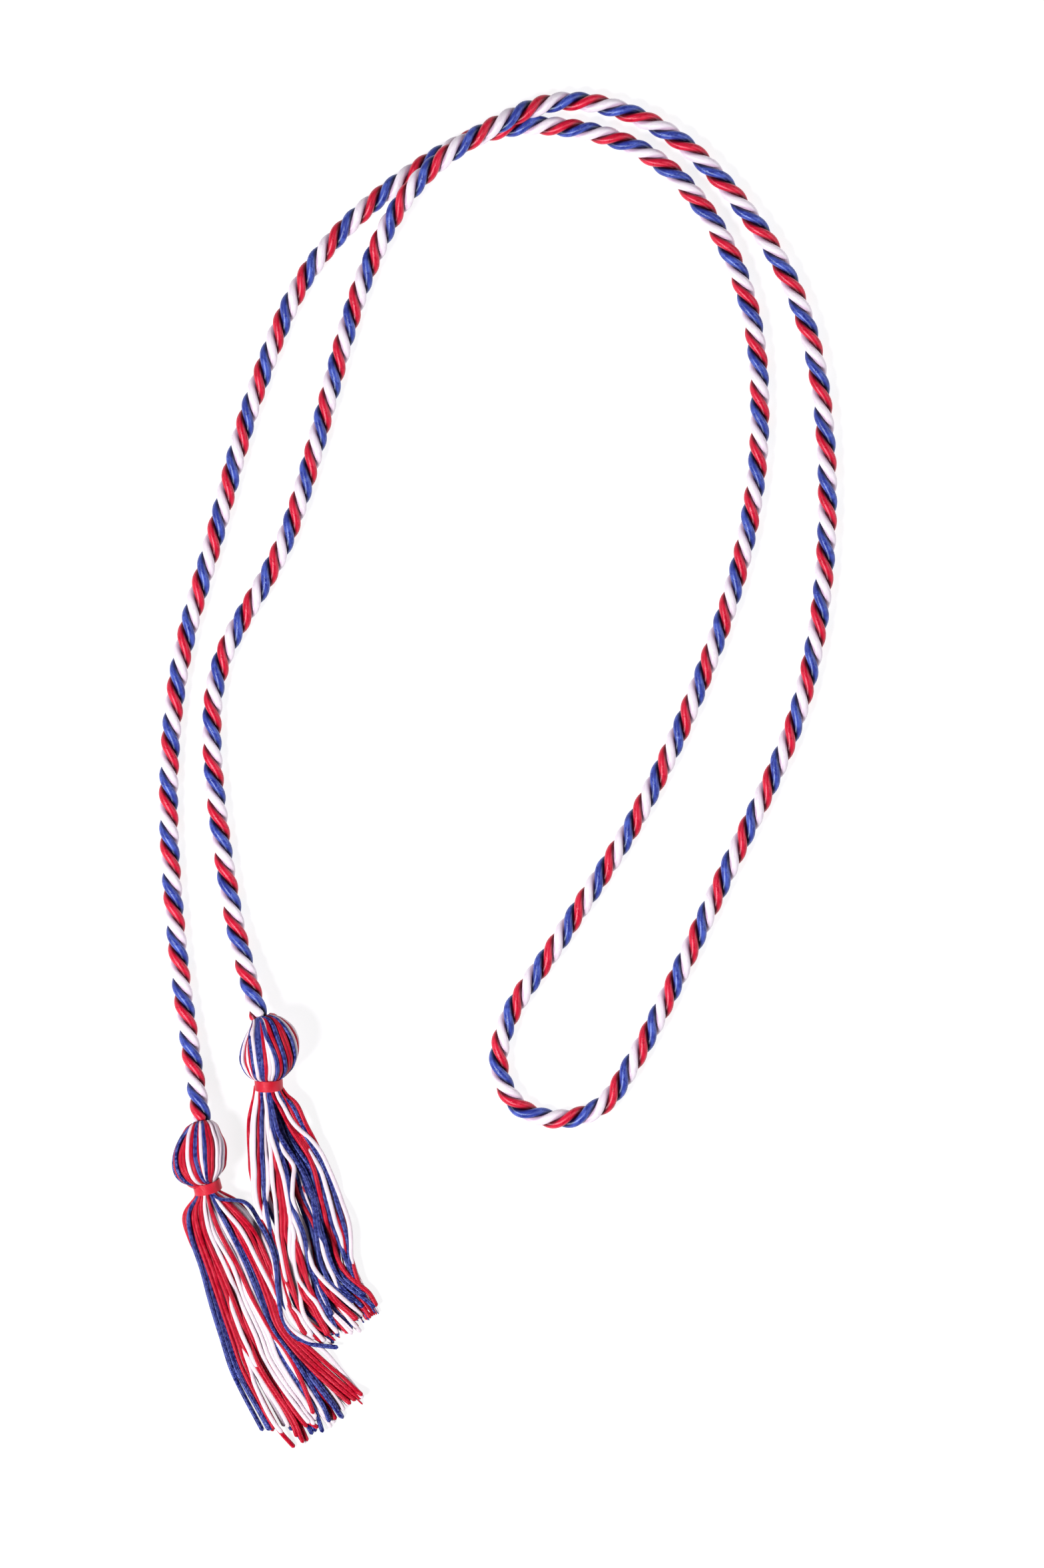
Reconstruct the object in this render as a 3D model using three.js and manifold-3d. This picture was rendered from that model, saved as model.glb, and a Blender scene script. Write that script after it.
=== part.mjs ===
// An honor cord: one rope of three twisted plies, laid down in a long doubled loop, with a tassel
// on each end. Each tassel is a round head, a band of thread round its neck and a skirt of locks.
// Millimetres, +Z up. The cord lies on the plane z = 0, with its tassels towards -Y.
import * as THREE from "three";
import { mergeVertices } from "three/addons/utils/BufferGeometryUtils.js";
import Module from "manifold-3d";

const wasm = await Module();
wasm.setup();

// Driving dimensions.
const ROPE_DIAMETER = 6.4;
const CLEARANCE = 0.3; // between two pieces that touch on the real cord
const NECK_DIAMETER = 7.4;
const NECK_HEIGHT = 7.5; // of the neck's axis over the surface
const NECK_DIP = 12; // degrees that the neck's axis slopes down towards the skirt
const BAND_WIDTH = 3.7;
const BAND_THICKNESS = 0.6;
const HEAD_FLATTENING = 0.5; // how far the soft head settles where it rests
const RIB_DEPTH = 0.5; // of the grooves between the head's ribs
const HEAD_RIBS = 18;
const NECK_TENON = 1; // how far the neck goes into the skirt
const SKIRT_HEIGHT = 5.2; // of the locks where they lie flat
const SKIRT_GAP = 0.6; // between the two skirts, where they lie side by side
const ROPE_SIDES = 8;
const STEPS_PER_SPAN = 2; // rope steps between two points of the route
const BAND_SIDES = 24;
const STEPS_PER_ROW = 2; // skirt steps between two rows of its fan

// The two tassels. Leans are degrees from -Y towards +X, looking down on the cord.
const LEFT = {
  headDiameter: 18.8,
  headLength: 18.6, // from the rope's end to the band
  headLean: 4.5, // of the line from the rope's end to the neck
  headShift: -0.5, // of the head's widest place to the side
  neckLean: 15,
  skirtLength: 84,
  color: 0xc4122a,
};
const RIGHT = {
  headDiameter: 20.6,
  headLength: 19.2,
  headLean: 8,
  headShift: 1.1,
  neckLean: 3,
  skirtLength: 84,
  color: 0x27408f,
};

const ropeRadius = ROPE_DIAMETER / 2;
const neckRadius = NECK_DIAMETER / 2;
const headHeight = (tassel) => tassel.headDiameter / 2 - HEAD_FLATTENING;

// The rope's route, chosen by hand, from the left tassel to the right one. "over" is 1 where the
// rope lies on its own other run, "rise" is 1 where it is up at the axis of a tassel's head.
const ROUTE = [
  { x: -95.5, y: -113.5, over: 0, rise: 1 },
  { x: -99.0, y: -92.0, over: 0, rise: 0.3 },
  { x: -103.5, y: -58.0, over: 0, rise: 0 },
  { x: -106.5, y: -8.0, over: 0, rise: 0 },
  { x: -103.0, y: 33.0, over: 0, rise: 0 },
  { x: -91.0, y: 78.0, over: 0, rise: 0 },
  { x: -77.5, y: 125.0, over: 0, rise: 0 },
  { x: -60.5, y: 162.5, over: 0, rise: 0 },
  { x: -32.5, y: 190.0, over: 0, rise: 0 },
  { x: 1.0, y: 207.5, over: 0, rise: 0 },
  { x: 32.5, y: 206.0, over: 0, rise: 0 },
  { x: 54.0, y: 195.5, over: 0, rise: 0 },
  { x: 71.5, y: 174.0, over: 0, rise: 0 },
  { x: 82.0, y: 146.5, over: 0, rise: 0 },
  { x: 84.5, y: 109.0, over: 0, rise: 0 },
  { x: 79.5, y: 72.0, over: 0, rise: 0 },
  { x: 66.5, y: 31.5, over: 0, rise: 0 },
  { x: 46.5, y: -12.0, over: 0, rise: 0 },
  { x: 20.5, y: -53.5, over: 0, rise: 0 },
  { x: 3.0, y: -81.0, over: 0, rise: 0 },
  { x: 0.5, y: -97.0, over: 0, rise: 0 },
  { x: 7.5, y: -109.0, over: 0, rise: 0 },
  { x: 20.0, y: -112.5, over: 0, rise: 0 },
  { x: 33.0, y: -108.5, over: 0, rise: 0 },
  { x: 44.0, y: -93.5, over: 0, rise: 0 },
  { x: 72.5, y: -35.5, over: 0, rise: 0 },
  { x: 98.5, y: 24.0, over: 0, rise: 0 },
  { x: 106.5, y: 86.0, over: 0, rise: 0 },
  { x: 100.5, y: 141.5, over: 0, rise: 0 },
  { x: 84.5, y: 175.0, over: 0, rise: 0 },
  { x: 54.0, y: 207.0, over: 0, rise: 0 },
  { x: 22.0, y: 216.5, over: 0.1, rise: 0 },
  { x: -5.0, y: 206.0, over: 1, rise: 0 },
  { x: -26.0, y: 190.0, over: 1, rise: 0 },
  { x: -42.0, y: 162.5, over: 0.1, rise: 0 },
  { x: -68.5, y: 75.5, over: 0, rise: 0 },
  { x: -89.5, y: 35.0, over: 0, rise: 0 },
  { x: -92.5, y: 12.0, over: 0, rise: 0 },
  { x: -85.5, y: -47.0, over: 0, rise: 0.05 },
  { x: -77.0, y: -80.0, over: 0, rise: 1 },
];

// How full the head is from the rope (0) to the band (1): 0 is as wide as the neck, 1 its widest.
const HEAD_PROFILE = [
  { along: 0, fullness: 0 },
  { along: 0.07, fullness: 0.28 },
  { along: 0.16, fullness: 0.52 },
  { along: 0.3, fullness: 0.78 },
  { along: 0.45, fullness: 0.95 },
  { along: 0.58, fullness: 1 },
  { along: 0.7, fullness: 0.93 },
  { along: 0.81, fullness: 0.76 },
  { along: 0.91, fullness: 0.48 },
  { along: 1, fullness: 0 },
];

// The skirts as they lie, from the neck's middle. Across (+X) and down (-Y) are shares of the
// skirt's length. "lift" and "rise" are how high the locks' undersides and tops still are, on
// their way down from the neck, and "full" is the share of the lying height.
const LEFT_FAN = [
  { leftAcross: -0.1, leftDown: 0.12, rightAcross: 0.15, rightDown: 0.06, lift: 0.4, rise: 0.8, full: 1 },
  { leftAcross: -0.072, leftDown: 0.205, rightAcross: 0.2, rightDown: 0.145, lift: 0, rise: 0.4, full: 1 },
  { leftAcross: -0.034, leftDown: 0.315, rightAcross: 0.245, rightDown: 0.28, lift: 0, rise: 0.12, full: 1 },
  { leftAcross: 0.004, leftDown: 0.455, rightAcross: 0.265, rightDown: 0.42, lift: 0, rise: 0, full: 1 },
  { leftAcross: 0.042, leftDown: 0.573, rightAcross: 0.3, rightDown: 0.54, lift: 0, rise: 0, full: 0.95 },
  { leftAcross: 0.1, leftDown: 0.714, rightAcross: 0.41, rightDown: 0.64, lift: 0, rise: 0, full: 0.85 },
  { leftAcross: 0.206, leftDown: 0.94, rightAcross: 0.585, rightDown: 0.81, lift: 0, rise: 0, full: 0.7 },
];
const RIGHT_FAN = [
  { leftAcross: -0.076, leftDown: 0.13, rightAcross: 0.11, rightDown: 0.065, lift: 0.4, rise: 0.8, full: 1 },
  { leftAcross: -0.082, leftDown: 0.22, rightAcross: 0.14, rightDown: 0.15, lift: 0, rise: 0.4, full: 1 },
  { leftAcross: -0.07, leftDown: 0.34, rightAcross: 0.205, rightDown: 0.26, lift: 0, rise: 0.12, full: 1 },
  { leftAcross: -0.045, leftDown: 0.465, rightAcross: 0.262, rightDown: 0.385, lift: 0, rise: 0, full: 1 },
  { leftAcross: 0.008, leftDown: 0.6, rightAcross: 0.31, rightDown: 0.53, lift: 0, rise: 0, full: 0.95 },
  { leftAcross: 0.047, leftDown: 0.76, rightAcross: 0.332, rightDown: 0.67, lift: 0, rise: 0, full: 0.85 },
  { leftAcross: 0.085, leftDown: 0.9, rightAcross: 0.366, rightDown: 0.755, lift: 0, rise: 0, full: 0.8 },
  { leftAcross: 0.215, leftDown: 0.995, rightAcross: 0.418, rightDown: 0.855, lift: 0, rise: 0, full: 0.7 },
];

// How far each lock reaches, from the left to the right of its skirt, as a share of its length.
const LEFT_REACH = [1.01, 1.04, 1.12, 1.13, 1.1, 1.08, 1.08, 1.06, 1.02];
const RIGHT_REACH = [0.99, 1.02, 1.04, 1.05, 1.06, 1.07, 1.06, 1.05, 1.03];

// A lock's own shape, at places across its width: how high it stands, and how far its blunt tip
// stops short, as shares of the skirt's height and length. The grooves are where locks meet.
const GROOVE = { place: 0, height: 0.62, short: 0.1 };
const LOCK_SHAPE = [
  GROOVE,
  { place: 0.2, height: 0.92, short: 0.012 },
  { place: 0.5, height: 1, short: 0 },
  { place: 0.8, height: 0.92, short: 0.015 },
];
const EDGE_HEIGHT = 0.75; // of the outermost locks, as a share of the middle ones
const NECK_WRAP = 0.3; // how far the locks stand out from the neck that they come out of
const NECK_ARC = 160; // degrees of the neck's upper and lower halves that they cover

// The rope's middle line. Each span between two points takes the same number of steps, so that the
// steps are short round the tight bends, and the surface stops the curve from dipping under it.
class Route extends THREE.CatmullRomCurve3 {
  getUtoTmapping(u) {
    return u;
  }

  getPoint(t, target = new THREE.Vector3()) {
    super.getPoint(t, target);
    target.z = Math.max(target.z, ropeRadius);
    return target;
  }

  // The sections stay level along the whole rope, so that its lowest flats lie on the surface.
  computeFrenetFrames(steps) {
    const frames = { tangents: [], normals: [], binormals: [] };
    for (let n = 0; n <= steps; n++) {
      const tangent = this.getTangentAt(n / steps);
      const { side, up } = crossways(tangent);
      frames.tangents.push(tangent);
      frames.normals.push(side);
      frames.binormals.push(up);
    }
    return frames;
  }
}

function ropeRoute() {
  const points = ROUTE.map(({ x, y, over, rise }, n) => {
    const tassel = n < ROUTE.length / 2 ? LEFT : RIGHT;
    const lying = ropeRadius + over * (ROPE_DIAMETER + CLEARANCE);
    return new THREE.Vector3(x, y, lying + rise * (headHeight(tassel) - lying));
  });
  return new Route(points);
}

// A regular outline whose flats touch a circle of this radius, with a flat at the bottom.
function flatSidedOutline(radius, sides) {
  const corner = radius / Math.cos(Math.PI / sides);
  const outline = [];
  for (let n = 0; n < sides; n++) {
    const angle = (2 * Math.PI * (n + 0.5)) / sides;
    outline.push(new THREE.Vector2(corner * Math.cos(angle), corner * Math.sin(angle)));
  }
  return new THREE.Shape(outline);
}

// A closed skin over rings of points that run anticlockwise, seen from ahead of the last one. Each
// end is closed by strips across it, from the first half of the ring to the second.
function loft(rings) {
  const sides = rings[0].length;
  const last = (rings.length - 1) * sides;
  const faces = [];
  for (let side = 0; side < sides; side++) {
    const next = (side + 1) % sides;
    for (let first = 0; first < last; first += sides) {
      const [a, b] = [first + side, first + next];
      faces.push(a, b, b + sides, a, b + sides, a + sides);
    }
  }
  for (let near = 0; near < sides / 2 - 1; near++) {
    const far = sides - 1 - near;
    faces.push(near, far, near + 1, near + 1, far, far - 1);
    faces.push(last + near, last + near + 1, last + far, last + near + 1, last + far - 1, last + far);
  }
  return new THREE.BufferGeometry().setFromPoints(rings.flat()).setIndex(faces);
}

function toSolid(geometry) {
  const merged = mergeVertices(geometry, 1e-4);
  return new wasm.Manifold(
    new wasm.Mesh({
      numProp: 3,
      vertProperties: merged.getAttribute("position").array,
      triVerts: new Uint32Array(merged.index.array),
    }),
  );
}

function toGeometry(solid) {
  const { vertProperties, triVerts } = solid.getMesh();
  const geometry = new THREE.BufferGeometry();
  geometry.setAttribute("position", new THREE.BufferAttribute(vertProperties, 3));
  geometry.setIndex(new THREE.BufferAttribute(triVerts, 1));
  geometry.computeVertexNormals();
  return geometry;
}

function fabric(color) {
  return new THREE.MeshStandardMaterial({ color, roughness: 0.6, metalness: 0 });
}

// The direction of a tassel's axis: leaning across from -Y, and dipping towards the surface.
function axisDirection(lean, dip) {
  const [turn, fall] = [THREE.MathUtils.degToRad(lean), THREE.MathUtils.degToRad(dip)];
  const level = Math.cos(fall);
  return new THREE.Vector3(Math.sin(turn) * level, -Math.cos(turn) * level, -Math.sin(fall));
}

// Where a tassel's parts lie: its spine runs from the rope's end, square to it, to the neck.
function layOut(tassel, ropeEnd, ropeDirection) {
  const length = tassel.headLength + CLEARANCE + BAND_WIDTH / 2;
  const neck = ropeEnd.clone().addScaledVector(axisDirection(tassel.headLean, 0), length);
  neck.z = NECK_HEIGHT;
  const neckDirection = axisDirection(tassel.neckLean, NECK_DIP);
  const halfNeck = BAND_WIDTH / 2 + CLEARANCE;
  const top = ropeEnd.clone().addScaledVector(ropeDirection, CLEARANCE);
  const headEnd = neck.clone().addScaledVector(neckDirection, -halfNeck);
  const skirtStart = neck.clone().addScaledVector(neckDirection, halfNeck);
  const pull = tassel.headLength / 3;
  const spine = new THREE.CubicBezierCurve3(
    top,
    top.clone().addScaledVector(ropeDirection, pull),
    headEnd.clone().addScaledVector(neckDirection, -pull),
    headEnd,
  );
  return { neck, neckDirection, headEnd, skirtStart, spine };
}

// The level direction and the upward one that are square to a direction.
function crossways(direction) {
  const side = new THREE.Vector3(0, 0, 1).cross(direction).normalize();
  return { side, up: new THREE.Vector3().crossVectors(direction, side) };
}

// A ring of points round a place, square to a direction and flattened where it meets the surface.
function ringAround(middle, direction, radius, groove, count) {
  const { side, up } = crossways(direction);
  const ring = [];
  for (let n = 0; n < count; n++) {
    const angle = (2 * Math.PI * n) / count;
    const reach = n % 2 ? radius - groove : radius;
    const point = middle.clone();
    point.addScaledVector(side, reach * Math.cos(angle));
    point.addScaledVector(up, reach * Math.sin(angle));
    point.z = Math.max(point.z, 0);
    ring.push(point);
  }
  return ring;
}

// The ribbed head, and the neck on it that the band goes round and the locks come out of.
function headSolid(tassel, { spine, neckDirection, skirtStart }) {
  const spread = tassel.headDiameter / 2 - neckRadius;
  const count = 2 * HEAD_RIBS;
  const rings = HEAD_PROFILE.map(({ along, fullness }) => {
    const middle = spine.getPoint(along);
    middle.x += tassel.headShift * fullness;
    middle.z += (headHeight(tassel) - middle.z) * fullness;
    const radius = neckRadius + spread * fullness;
    return ringAround(middle, spine.getTangent(along), radius, RIB_DEPTH * fullness, count);
  });
  const neckEnd = skirtStart.clone().addScaledVector(neckDirection, NECK_TENON);
  rings.push(ringAround(neckEnd, neckDirection, neckRadius, 0, count));
  return toSolid(loft(rings));
}

// The columns of a skirt's skin, from its left edge to its right one.
function lockColumns(reaches) {
  const columns = reaches.flatMap((reach, lock) =>
    LOCK_SHAPE.map(({ place, height, short }) => {
      return { across: (lock + place) / reaches.length, height, reach: reach - short };
    }),
  );
  columns.push({ across: 1, height: GROOVE.height, reach: reaches.at(-1) - GROOVE.short });
  return columns;
}

// One column of the skin, as a smooth curve from the neck through the rows of the fan.
function columnCurve(tassel, layout, fan, column, isTop) {
  const { side, up } = crossways(layout.neckDirection);
  const arc = THREE.MathUtils.degToRad(NECK_ARC);
  const angle = arc * (0.5 - column.across);
  const radius = neckRadius + NECK_WRAP;
  const start = layout.skirtStart.clone().addScaledVector(side, -radius * Math.sin(angle));
  start.addScaledVector(up, (isTop ? radius : -radius) * Math.cos(angle));
  const edge = 1 - (1 - EDGE_HEIGHT) * (2 * column.across - 1) ** 2;
  const points = fan.map((row) => {
    const left = new THREE.Vector3(row.leftAcross, -row.leftDown, 0);
    const right = new THREE.Vector3(row.rightAcross, -row.rightDown, 0);
    const point = left.lerp(right, column.across).multiplyScalar(tassel.skirtLength);
    const lying = SKIRT_HEIGHT * row.full;
    const top = lying + (NECK_HEIGHT + neckRadius - lying) * row.rise;
    const bottom = (NECK_HEIGHT - neckRadius) * row.lift;
    return point.add(layout.neck).setZ(isTop ? top * edge * column.height : bottom);
  });
  const [before, end] = points.slice(-2);
  const onward = end.clone().sub(before).setZ(0).normalize();
  end.addScaledVector(onward, (column.reach - 1) * tassel.skirtLength);
  return new THREE.CatmullRomCurve3([start, ...points]);
}

// The rings of a skirt's skin: each runs along its underside and back over its locks.
function skirtRings(tassel, layout, fan, reaches) {
  const columns = lockColumns(reaches);
  const bottoms = columns.map((column) => columnCurve(tassel, layout, fan, column, false));
  const tops = columns.map((column) => columnCurve(tassel, layout, fan, column, true)).reverse();
  const steps = fan.length * STEPS_PER_ROW;
  const rings = [];
  for (let step = 0; step <= steps; step++) {
    const ring = [...bottoms, ...tops].map((curve) => curve.getPoint(step / steps));
    rings.push(ring.map((point) => point.setZ(Math.max(point.z, 0))));
  }
  return rings;
}

// How much of the level line from one point to another is free, short of an outline.
function freeShare(from, to, outline) {
  const line = to.clone().sub(from).setZ(0);
  let share = 1;
  for (let n = 1; n < outline.length; n++) {
    const span = outline[n].clone().sub(outline[n - 1]);
    const offset = outline[n - 1].clone().sub(from);
    const turn = line.x * span.y - line.y * span.x;
    const along = (offset.x * span.y - offset.y * span.x) / turn;
    const onSpan = (offset.x * line.y - offset.y * line.x) / turn;
    if (along > 0 && onSpan >= 0 && onSpan <= 1) {
      share = Math.min(share, along - SKIRT_GAP / line.length());
    }
  }
  return share;
}

// The skirts lie side by side: the left one's rings narrow where they would run into the right one.
function squeezeBeside(rings, neighbour) {
  const half = rings[0].length / 2;
  const outline = neighbour.map((ring) => ring[0]);
  outline.push(...neighbour.at(-1).slice(1, half));
  const free = rings.map((ring) => freeShare(ring[0], ring[half - 1], outline));
  return rings.map((ring, n) => {
    const share = Math.min(...free.slice(Math.max(n - 1, 0), n + 2));
    const edge = ring[0];
    return ring.map((point) => {
      return new THREE.Vector3(
        edge.x + (point.x - edge.x) * share,
        edge.y + (point.y - edge.y) * share,
        point.z,
      );
    });
  });
}

function bandMesh(name, layout) {
  const inner = neckRadius + CLEARANCE;
  const outer = inner + BAND_THICKNESS;
  const profile = [
    new THREE.Vector2(inner, -BAND_WIDTH / 2),
    new THREE.Vector2(outer, -BAND_WIDTH / 2),
    new THREE.Vector2(outer, BAND_WIDTH / 2),
    new THREE.Vector2(inner, BAND_WIDTH / 2),
    new THREE.Vector2(inner, -BAND_WIDTH / 2),
  ];
  const mesh = new THREE.Mesh(new THREE.LatheGeometry(profile, BAND_SIDES), fabric(0xd01c30));
  mesh.name = name;
  mesh.position.copy(layout.neck);
  mesh.quaternion.setFromUnitVectors(new THREE.Vector3(0, 1, 0), layout.neckDirection);
  return mesh;
}

function solidMesh(name, solid, color) {
  const mesh = new THREE.Mesh(toGeometry(solid), fabric(color));
  mesh.name = name;
  return mesh;
}

function ropeMesh(route) {
  const geometry = new THREE.ExtrudeGeometry(flatSidedOutline(ropeRadius, ROPE_SIDES), {
    steps: (ROUTE.length - 1) * STEPS_PER_SPAN,
    extrudePath: route,
    bevelEnabled: false,
  });
  const mesh = new THREE.Mesh(geometry, fabric(0xf2eef4));
  mesh.name = "rope";
  return mesh;
}

const group = new THREE.Group();
const route = ropeRoute();
group.add(ropeMesh(route));

const left = layOut(LEFT, route.getPoint(0), route.getTangent(0).negate());
const right = layOut(RIGHT, route.getPoint(1), route.getTangent(1));

const rightSkirt = skirtRings(RIGHT, right, RIGHT_FAN, RIGHT_REACH);
const leftSkirt = squeezeBeside(skirtRings(LEFT, left, LEFT_FAN, LEFT_REACH), rightSkirt);
const leftTassel = headSolid(LEFT, left).add(toSolid(loft(leftSkirt)));
const rightTassel = headSolid(RIGHT, right).add(toSolid(loft(rightSkirt)));
group.add(solidMesh("tassel_left", leftTassel, LEFT.color));
group.add(solidMesh("tassel_right", rightTassel, RIGHT.color));
group.add(bandMesh("band_left", left));
group.add(bandMesh("band_right", right));

export default group;
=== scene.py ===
# %% [markdown]
# # An honor cord
# An honor cord is one long rope of three satin plies, red, white and blue, with a tassel on each
# end. Here it lies doubled up in a long loop on a white surface. The rope, the two heads, the two
# bands and the two skirts of loose strands are each made below from the thread that they really
# consist of: curves with a round section, laid where the thread runs. The alternative, a smooth
# tube with a painted twist, is quicker, but it has no valleys for the shade to gather in.

# %% Load the frame
import math
import bpy
import numpy as np
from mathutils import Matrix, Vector
from mathutils.kdtree import KDTree


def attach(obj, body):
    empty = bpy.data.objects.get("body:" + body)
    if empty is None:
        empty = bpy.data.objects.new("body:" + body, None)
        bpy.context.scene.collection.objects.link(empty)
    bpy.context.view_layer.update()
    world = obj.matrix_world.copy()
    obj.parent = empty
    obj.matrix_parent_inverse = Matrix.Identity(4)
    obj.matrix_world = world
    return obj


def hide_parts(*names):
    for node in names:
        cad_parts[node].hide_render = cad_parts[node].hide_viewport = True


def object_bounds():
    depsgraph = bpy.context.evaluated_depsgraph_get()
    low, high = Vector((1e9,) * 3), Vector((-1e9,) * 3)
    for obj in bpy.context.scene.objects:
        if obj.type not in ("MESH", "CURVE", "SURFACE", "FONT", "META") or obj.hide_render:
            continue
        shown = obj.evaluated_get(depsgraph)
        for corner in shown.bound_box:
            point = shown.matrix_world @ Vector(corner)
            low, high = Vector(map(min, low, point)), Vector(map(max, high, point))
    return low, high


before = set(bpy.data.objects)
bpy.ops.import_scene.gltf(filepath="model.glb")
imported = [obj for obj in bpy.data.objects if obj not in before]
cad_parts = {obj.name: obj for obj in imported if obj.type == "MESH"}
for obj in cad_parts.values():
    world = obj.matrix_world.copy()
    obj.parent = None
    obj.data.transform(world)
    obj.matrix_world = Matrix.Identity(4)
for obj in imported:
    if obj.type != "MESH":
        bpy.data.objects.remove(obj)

cad_low, cad_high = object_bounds()
cad_box = [round(1000 * v, 1) for v in (*cad_low, *cad_high)]
print("the frame holds", sorted(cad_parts), "in", cad_box, "mm")

# %% [markdown]
# ## The camera
# The cord is seen from straight above. A camera far away with a long lens keeps the near and the
# far parts at one scale. The picture is upright, so the sensor is fitted to its height, and the
# lens follows from the distance and from how much of the surface the picture shows.

# %% Camera
PICTURE_HEIGHT = 0.5073  # metres of the surface from the top of the picture to its bottom
CAMERA_DISTANCE = 4.0
PICTURE_MIDDLE = (0.00775, -0.0042)
SENSOR_HEIGHT = 36  # millimetres

camera = bpy.data.objects.new("camera", bpy.data.cameras.new("camera"))
bpy.context.collection.objects.link(camera)
camera.location = (*PICTURE_MIDDLE, CAMERA_DISTANCE)
camera.data.sensor_fit = "VERTICAL"
camera.data.sensor_height = SENSOR_HEIGHT
camera.data.lens = SENSOR_HEIGHT * CAMERA_DISTANCE / PICTURE_HEIGHT
bpy.context.scene.camera = camera
print("lens", round(camera.data.lens, 1), "mm")

# %% [markdown]
# ## The route of the rope
# The rope follows one smooth curve through forty places, from the left tassel to the right one.
# Where "over" is 1 it lies on top of its own other run, and where "rise" is 1 it has come up to
# the middle of a tassel's head. A centripetal Catmull-Rom curve goes through each place without
# the loops and overshoots that a plain one makes where the places are unevenly spaced.

# %% Rope route
ROPE_DIAMETER = 6.4  # all the making is in millimetres, and the meshes are scaled at the end
CLEARANCE = 0.3  # between the rope, the heads and the bands
HEAD_FLATTENING = 0.5  # where a head rests on the surface
NECK_HEIGHT = 7.5
ROUTE_STEPS = 60  # of the curve between each two places

# The size of each head, and how far it and its neck lean to the right, in degrees.
LEFT = {"diameter": 18.8, "length": 18.6, "lean": 4.5, "neck_lean": 15}
RIGHT = {"diameter": 20.6, "length": 19.2, "lean": 8, "neck_lean": 3}

ROUTE = [  # x, y, over, rise
    (-95.5, -113.5, 0, 1), (-99, -92, 0, 0.3), (-103.5, -58, 0, 0), (-106.5, -8, 0, 0),
    (-103, 33, 0, 0), (-91, 78, 0, 0), (-77.5, 125, 0, 0), (-60.5, 162.5, 0, 0),
    (-32.5, 190, 0, 0), (1, 207.5, 0, 0), (32.5, 206, 0, 0), (54, 195.5, 0, 0),
    (71.5, 174, 0, 0), (82, 146.5, 0, 0), (84.5, 109, 0, 0), (79.5, 72, 0, 0),
    (66.5, 31.5, 0, 0), (46.5, -12, 0, 0), (20.5, -53.5, 0, 0), (3, -81, 0, 0),
    (0.5, -97, 0, 0), (7.5, -109, 0, 0), (20, -112.5, 0, 0), (33, -108.5, 0, 0),
    (44, -93.5, 0, 0), (72.5, -35.5, 0, 0), (98.5, 24, 0, 0), (106.5, 86, 0, 0),
    (100.5, 141.5, 0, 0), (84.5, 175, 0, 0), (54, 207, 0, 0), (22, 216.5, 0.1, 0),
    (-5, 206, 1, 0), (-26, 190, 1, 0), (-42, 162.5, 0.1, 0), (-68.5, 75.5, 0, 0),
    (-89.5, 35, 0, 0), (-92.5, 12, 0, 0), (-85.5, -47, 0, 0.05), (-77, -80, 0, 1),
]


def smooth_line(points, steps):
    """A centripetal Catmull-Rom curve through the points, with this many steps in each span."""
    p = np.asarray(points, float)
    p = np.vstack([2 * p[0] - p[1], p, 2 * p[-1] - p[-2]])
    share = np.linspace(0, 1, steps, endpoint=False)[:, None]
    spans = []
    for i in range(1, len(p) - 2):
        a, b, c = (max(math.sqrt(np.linalg.norm(p[j + 1] - p[j])), 1e-6) for j in (i - 1, i, i + 1))
        leaving = ((p[i] - p[i - 1]) / a - (p[i + 1] - p[i - 1]) / (a + b) + (p[i + 1] - p[i]) / b) * b
        arriving = ((p[i + 1] - p[i]) / b - (p[i + 2] - p[i]) / (b + c) + (p[i + 2] - p[i + 1]) / c) * b
        square = -3 * p[i] + 3 * p[i + 1] - 2 * leaving - arriving
        cube = 2 * p[i] - 2 * p[i + 1] + leaving + arriving
        spans.append(p[i] + leaving * share + square * share**2 + cube * share**3)
    return np.vstack([*spans, p[-2][None]])


def distances(line):
    """How far along the line each of its points is."""
    return np.concatenate([[0], np.cumsum(np.linalg.norm(np.diff(line, axis=0), axis=1))])


def between(places, marks, points):
    """The points at some places, from the ones at some marks."""
    return np.stack([np.interp(places, marks, axis) for axis in points.T], axis=1)


def even_line(line, spacing):
    """The same line with its points a spacing apart."""
    along = distances(line)
    places = np.linspace(0, along[-1], max(int(round(along[-1] / spacing)), 4) + 1)
    return between(places, along, line)


def evened(values, weights, **beyond):
    """Values evened out by a sliding mean with these weights. Padding carries their ends on."""
    weights = np.array(weights) / np.sum(weights)
    return np.convolve(np.pad(values, len(weights) // 2, **beyond), weights, "valid")


def unit(vectors):
    """The same directions, each of length one."""
    return vectors / np.maximum(np.linalg.norm(vectors, axis=-1, keepdims=True), 1e-12)


def head_height(tassel):
    """How high the middle of a head lies."""
    return tassel["diameter"] / 2 - HEAD_FLATTENING


places = []
for number, (x, y, over, rise) in enumerate(ROUTE):
    lying = ROPE_DIAMETER / 2 + over * (ROPE_DIAMETER + CLEARANCE)
    top = head_height(LEFT if number < len(ROUTE) / 2 else RIGHT)
    places.append((x, y, lying + rise * (top - lying)))
rope_line = smooth_line(places, ROUTE_STEPS)
rope_line[:, 2] = np.maximum(rope_line[:, 2], ROPE_DIAMETER / 2)
rope_ends = {
    "left": (rope_line[0], unit(rope_line[0] - rope_line[1])),
    "right": (rope_line[-1], unit(rope_line[-1] - rope_line[-2])),
}
print("rope", round(distances(rope_line)[-1] / 1000, 3), "m long")

# %% [markdown]
# ## How thread becomes a mesh
# Every piece of the cord is thread, so one helper makes them all. It lays rings of points square
# to a line and joins each ring to the next. Each strand keeps a thread map, which is its UV map:
# U goes once round the strand, and V counts along it, so that the twist of the filaments and the
# stitches can be drawn by the material and always follow the strand.

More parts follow.
